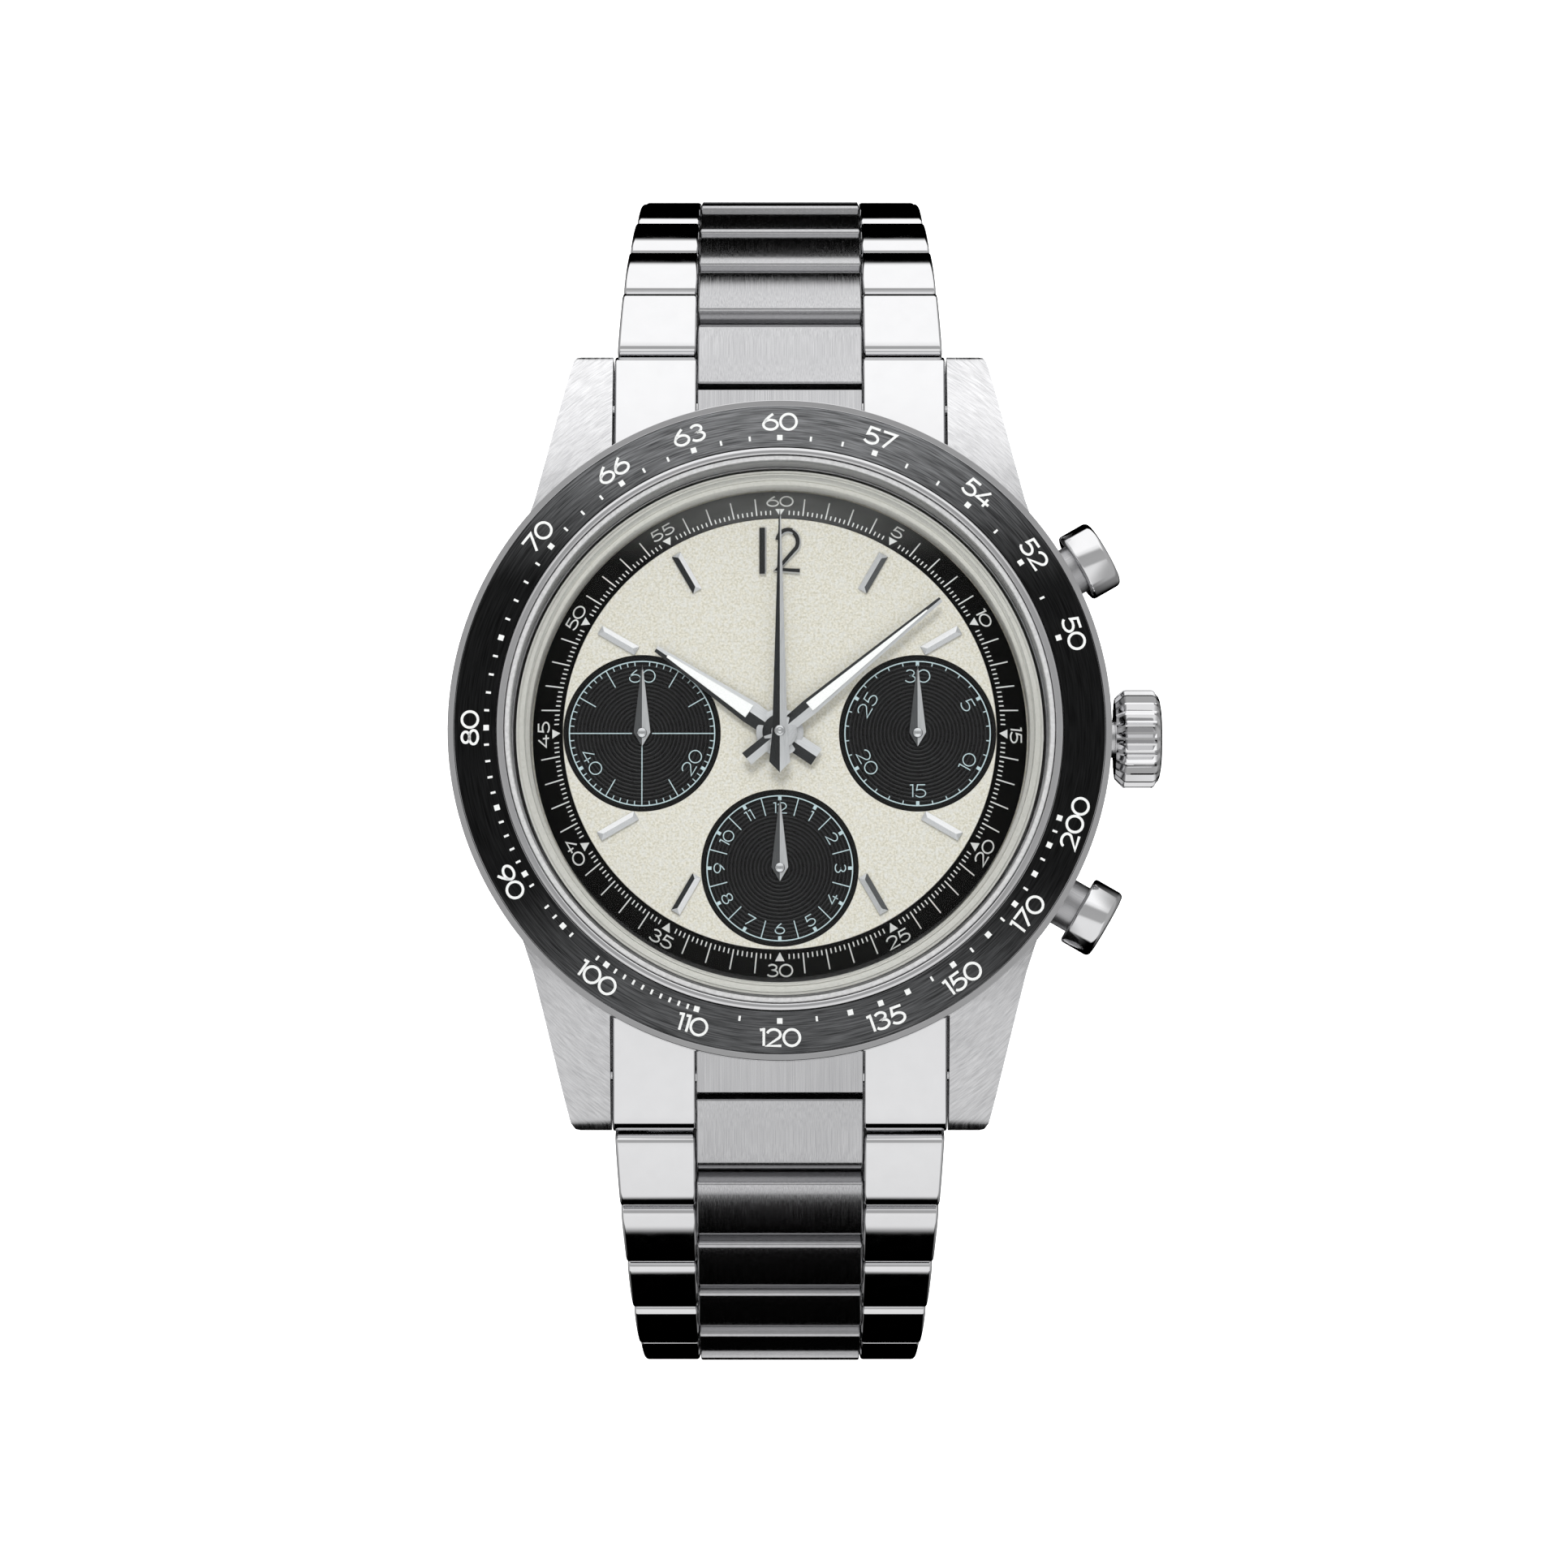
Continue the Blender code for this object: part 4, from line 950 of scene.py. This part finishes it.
def build_crown():
    teeth = 24

    def ring(x, tip, root):
        points = []
        for i in range(teeth):
            for share, r in ((0.0, tip), (0.16, tip), (0.5, root), (0.66, root)):
                a = 2 * math.pi * (i + share + 0.34) / teeth
                points.append((r * math.cos(a), r * math.sin(a), x))
        return points

    rows = [(23.0, 1.2, 1.2), (22.98, 1.9, 1.9), (22.9, 2.35, 2.35), (22.82, 2.55, 2.55),
            (22.72, 2.66, 2.62), (22.60, 2.86, 2.66), (22.45, 2.98, 2.68), (22.35, 3.0, 2.68),
            (20.85, 3.0, 2.68), (20.70, 2.96, 2.62), (20.2, 2.45, 2.3), (20.2, 1.35, 1.35),
            (21.5, 1.35, 1.35)]
    cap = moved(from_rings([ring(*r) for r in rows]), at(0, 0, CROWN_Z) @ to_x())
    piece("crown_cap", cap, "polished", "crown", "crown", place=at(20.2, 0, CROWN_Z),
          angle=24)


def build_pushers():
    for node, sign in (("start_pusher", 1), ("reset_pusher", -1)):
        here = at(0, 0, CROWN_Z) @ spin_z(sign * PUSHER_ANGLE)
        cap = turned([(1.5, 20.7), (1.98, 20.7), (2.08, 20.74), (2.14, 20.82), (2.15, 20.92), (2.15, 22.36),
                      (2.12, 22.48), (2.05, 22.59), (1.92, 22.66), (1.5, 22.71), (0.8, 22.735),
                      (0.2, 22.74)], 96)
        piece(node + "_cap", moved(moved(cap, to_x()), here), "polished", node, node,
              place=here, angle=40)
        neck = turned([(0.58, 14.2), (0.58, 17.55), (0.63, 17.6), (1.45, 17.6), (1.5, 17.65),
                       (1.5, 20.72)], 64)
        piece(node + "_neck", moved(moved(neck, to_x()), here), "neck", node, place=here)


# ---- bracelet

def half_width(s):
    """Half the bracelet's width s millimetres from the lug pin: it tapers, then runs almost straight."""
    if s < 30.0:
        return 10.0 - 1.75 * s / 30.0
    return 8.25 - 0.25 * (s - 30.0) / 25.0


def top_line(s0, s1, sag, r0, r1):
    """The arched top of a block from its front edge s1 to its rear edge s0, rounded at both ends."""
    steps, middle, half = 6, (s0 + s1) / 2, (s1 - s0) / 2
    lean = math.atan(2 * sag / half)
    turns = [lean + (math.pi / 2 - lean) * k / 5 for k in range(6)]
    front, rear = s1 - r1 * (1 - math.sin(lean)), s0 + r0 * (1 - math.sin(lean))

    def height(s):
        return LINK_TOP - sag * ((s - middle) / half) ** 2

    points = [(s1 - r1 + r1 * math.sin(f), height(front) - r1 * (math.cos(lean) - math.cos(f)))
              for f in reversed(turns)]
    for k in range(1, steps):
        s = front + (rear - front) * k / steps
        points.append((s, height(s)))
    points += [(s0 + r0 - r0 * math.sin(f), height(rear) - r0 * (math.cos(lean) - math.cos(f)))
               for f in turns]
    return points


def centre_block(s_front, rear_round, round_front=None):
    profile = arc(0, 0, LINK_R, 180, 270, 8)
    if round_front is None:
        profile += [(s_front, -LINK_R)]
    else:
        profile += arc(round_front, 0, LINK_R, 270, 350, 8)
    profile += top_line(-LINK_R, s_front, 0.20, rear_round, 1.0)
    return prism(profile, -CENTRE_HALF, CENTRE_HALF, "x")


def side_blocks(s_back, s_front, pin, width):
    profile = [(s_back, -LINK_R)]
    profile += arc(pin, 0, LINK_R, 270, 350, 8) if pin is not None else [(s_front, -LINK_R)]
    profile += top_line(s_back, s_front, 0.34, 0.55, 1.1)
    inner = CENTRE_HALF + SIDE_GAP
    blocks = []
    for sign in (1, -1):
        rings = [[(sign * inner, s, t) for s, t in profile], [(sign * width(s), s, t) for s, t in profile]]
        blocks.append(from_rings(rings))
    return join(*blocks)


def pin_heads(s, width):
    heads = []
    for sign in (1, -1):
        head = turned([(0.42, -0.5), (0.42, -0.04), (0.38, 0.0)], 32)
        x = width(s)
        heads.append(moved(head, at(sign * x, s, 0) @ Matrix.Rotation(math.radians(90 * sign), 4, "Y")))
    return join(*heads)


def pin_line(side):
    """Where the side's hinges are, and the end of its last link, in millimetres."""
    table = {joint["name"]: joint for joint in frame["record"]["behaviour"]["joints"]}
    pins = [table["hinge_%s_%02d" % (side, k + 1)]["pos_m"] for k in range(10)]
    end = list(table["clasp_base_pivot"]["pos_m"])
    if side == "6":
        end[1] = -end[1]
    return [Vector(p) / MM for p in pins + [end]]


def build_bracelet():
    for side in ("12", "6"):
        pins = pin_line(side)
        turn = spin_z(0 if side == "12" else 180)
        sign = 1 if side == "12" else -1
        for k in range(10):
            step = pins[k + 1] - pins[k]
            tilt = math.atan2(-step.z, sign * step.y)
            here = Matrix.Translation(pins[k]) @ turn @ Matrix.Rotation(-tilt, 4, "X")
            node = "link_%s_%02d" % (side, k + 1)
            last = side == "6" and k == 9
            s0 = PITCH * k
            reach = PITCH - LINK_R - LINK_GAP

            def width(s, s0=s0):
                return half_width(s0 + s)

            if last:
                centre = centre_block(PITCH + LINK_R, 0.26, round_front=PITCH)
                sides = side_blocks(LINK_R + LINK_GAP, 3.5, None, width)
            else:
                centre = centre_block(reach, 0.26 if k else 0.12)
                sides = side_blocks(LINK_R + LINK_GAP, PITCH + LINK_R, PITCH, width)
                piece(node + "_pins", moved(pin_heads(PITCH, width), here), "polished", node,
                      place=here)
            piece(node + "_centre", moved(centre, here), "link_centre", node, node,
                  place=here, bevel=0.10, segments=3, angle=35)
            piece(node + "_sides", moved(sides, here), "polished", node, place=here,
                  bevel=0.2, segments=3, angle=35)
        build_end_link(side, pins[0], turn)


def build_end_link(side, pin, turn):
    tilt = Matrix.Rotation(math.radians(-END_ANGLE), 4, "X")
    here = Matrix.Translation(pin) @ turn @ tilt
    back = -LINK_R - LINK_GAP
    clearance = (CASE_R + 0.1, -2.0, 12.0, 160)
    profile = [(END_BACK, -LINK_R), (back, -LINK_R), (back, LINK_R), (END_BACK, LINK_R)]
    centre = drill(moved(prism(profile, -CENTRE_HALF, CENTRE_HALF, "x"), here), *clearance)
    node = "end_link_" + side
    piece(node + "_centre", centre, "link_centre", "case", node, place=here, bevel=0.08,
          segments=3, angle=35)
    side_profile = arc(0, 0, LINK_R, 270, 450, 18) + [(END_BACK, LINK_R), (END_BACK, -LINK_R)]
    blocks = []
    for sign in (1, -1):
        a, b = sign * (CENTRE_HALF + SIDE_GAP), sign * END_HALF
        blocks.append(drill(moved(prism(side_profile, a, b, "x"), here), *clearance))
    piece(node + "_sides", join(*blocks), "polished", "case", place=here, bevel=0.14,
          segments=3, angle=35)


# ---- clasp and hidden work

def from_node(node, name, mat, body, bevel):
    """A bevelled copy of a plain CAD node."""
    mesh = frame["nodes"][node].data.copy()
    mesh.transform(Matrix.Scale(1 / MM, 4))
    bm = bmesh.new()
    bm.from_mesh(mesh)
    bmesh.ops.remove_doubles(bm, verts=bm.verts, dist=1e-5)
    bmesh.ops.dissolve_limit(bm, angle_limit=math.radians(1.0), verts=bm.verts, edges=bm.edges)
    bm.to_mesh(mesh)
    bm.free()
    return piece(name, mesh, mat, body, node, bevel=bevel, angle=35)


def build_clasp():
    from_node("clasp_cover", "clasp_cover_body", "clasp", "clasp_cover", 0.16)
    from_node("clasp_middle_blade", "clasp_blade_body", "polished", "clasp_blade", 0.08)
    from_node("clasp_base", "clasp_base_body", "polished", "clasp_base", 0.08)


def dress_hidden():
    looks = {
        "polished": ("spring_bar_12", "spring_bar_6", "clasp_spring_bar", "winding_stem", "sliding_pinion"),
        "plate": ("movement_ring", "train_bridge"),
        "brass": ("main_plate", "barrel", "balance_wheel", "hour_wheel", "center_wheel",
                  "chronograph_wheel", "fourth_wheel", "minute_counter_wheel", "hour_counter_wheel"),
    }
    for look, nodes in looks.items():
        for node in nodes:
            data = frame["nodes"][node].data
            data.materials.clear()
            data.materials.append(LOOKS[look])


# ---- studio

def ramp_node(n, value, stops):
    node = n.add("ShaderNodeValToRGB")
    n.link(value, node.inputs[0])
    ramp = node.color_ramp
    ramp.interpolation = "EASE"
    while len(ramp.elements) < len(stops):
        ramp.elements.new(0.5)
    for element, (angle, level) in zip(ramp.elements, stops):
        element.position = (angle + 180.0) / 360.0
        element.color = (level, level, level, 1)
    return node.outputs[0]


def build_world():
    """A soft arch of light along the 12-6 line, dimmer from the sides; the backdrop itself is plain white."""
    world = bpy.data.worlds.new("studio")
    bpy.context.scene.world = world
    world.use_nodes = True
    n = Nodes(world.node_tree)
    world.node_tree.nodes.clear()
    x, y, z = n.split(n.coord("Generated"))
    pitch = n.remap(n.math("ARCTAN2", y, z), -math.pi, math.pi, 0, 1)
    roll = n.remap(n.math("ARCTAN2", x, z), -math.pi, math.pi, 0, 1)
    arch = ramp_node(n, pitch, [(-85, 0.0), (-76, 0.75), (-24, 0.78), (-17, 0.75), (-9, 0.38), (18, 0.36),
                                (29, 0.85), (38, 1.0), (106, 1.0), (112, 0.0)])
    sides = ramp_node(n, roll, [(-180, 0.2), (-112, 0.22), (-92, 0.36), (-30, 0.40), (-9, 0.38), (9, 0.38),
                                (30, 0.40), (92, 0.38), (112, 0.22), (180, 0.2)])
    along = n.remap(n.math("ABSOLUTE", x), 0.35, 0.7, 1, 0, True)
    light = n.add("ShaderNodeBackground")
    light.inputs["Strength"].default_value = 1.25
    n.link(n.mix_colour(along, sides, arch), light.inputs["Color"])
    plain = n.add("ShaderNodeBackground")
    plain.inputs["Color"].default_value = (1, 1, 1, 1)
    path = n.add("ShaderNodeLightPath")
    choose = n.add("ShaderNodeMixShader")
    n.link(path.outputs["Is Camera Ray"], choose.inputs[0])
    n.link(light.outputs[0], choose.inputs[1])
    n.link(plain.outputs[0], choose.inputs[2])
    out = n.add("ShaderNodeOutputWorld")
    n.link(choose.outputs[0], out.inputs[0])


def build_floor():
    floor_mesh = box(-3000, 3000, -3000, 3000, -2.0, 0.0)
    floor_mesh.transform(Matrix.Scale(MM, 4))
    mat, n, shader = start_material("floor_pale")
    n.link(n.mix_colour(n.noise(n.coord(), 30.0), grey(0.80), grey(0.83)),
           shader.inputs["Base Color"])
    shader.inputs["Roughness"].default_value = 0.9
    shader.inputs["Emission Color"].default_value = (1, 1, 1, 1)
    shader.inputs["Emission Strength"].default_value = 1.2
    floor_mesh.materials.append(mat)
    floor = bpy.data.objects.new("floor", floor_mesh)
    floor.location.z = CAD_BOX[0].z - 0.2 * MM
    floor.visible_glossy = False
    bpy.context.scene.collection.objects.link(floor)


def put_on_stage(obj, location, back):
    """Links a lamp or camera that looks away from `back`."""
    obj.location = location
    obj.rotation_mode = "QUATERNION"
    obj.rotation_quaternion = back.to_track_quat("Z", "Y")
    bpy.context.scene.collection.objects.link(obj)


def lamp(name, azimuth, elevation, size, power, distance=0.9):
    """A round lamp aimed at the origin; degrees, metres and watts. It is not seen in reflections."""
    data = bpy.data.lights.new(name, "AREA")
    data.shape, data.size, data.energy = "DISK", size, power
    obj = bpy.data.objects.new(name, data)
    a, e = math.radians(azimuth), math.radians(elevation)
    back = Vector((math.sin(a) * math.cos(e), -math.cos(a) * math.cos(e), math.sin(e)))
    obj.visible_glossy = False
    put_on_stage(obj, back * distance, back)


def build_camera():
    data = bpy.data.cameras.new("camera")
    data.lens, data.sensor_width = CAMERA_LENS, SENSOR
    data.clip_start, data.clip_end = 0.01, 20.0
    camera = bpy.data.objects.new("camera", data)
    tilt = math.radians(CAMERA_TILT)
    back = Vector((0, -math.cos(tilt), math.sin(tilt)))
    put_on_stage(camera, (Vector(CAMERA_TARGET) + back * CAMERA_DISTANCE) * MM, back)
    bpy.context.scene.camera = camera


build_mid_case()
build_bezel()
build_case_back()
build_insert_print()
build_crystal()
build_dial_plate()
build_markers()
build_track_and_flange()
build_track_print()
build_subdials()
build_main_hands()
build_counter_hands()
build_crown()
build_pushers()
build_bracelet()
build_clasp()
dress_hidden()
build_world()
build_floor()
lamp("key_light", 184, 58, 0.30, 3.3)
lamp("fill_light", 20, 60, 0.6, 1.2)
build_camera()
bpy.context.scene.view_settings.view_transform = "Standard"
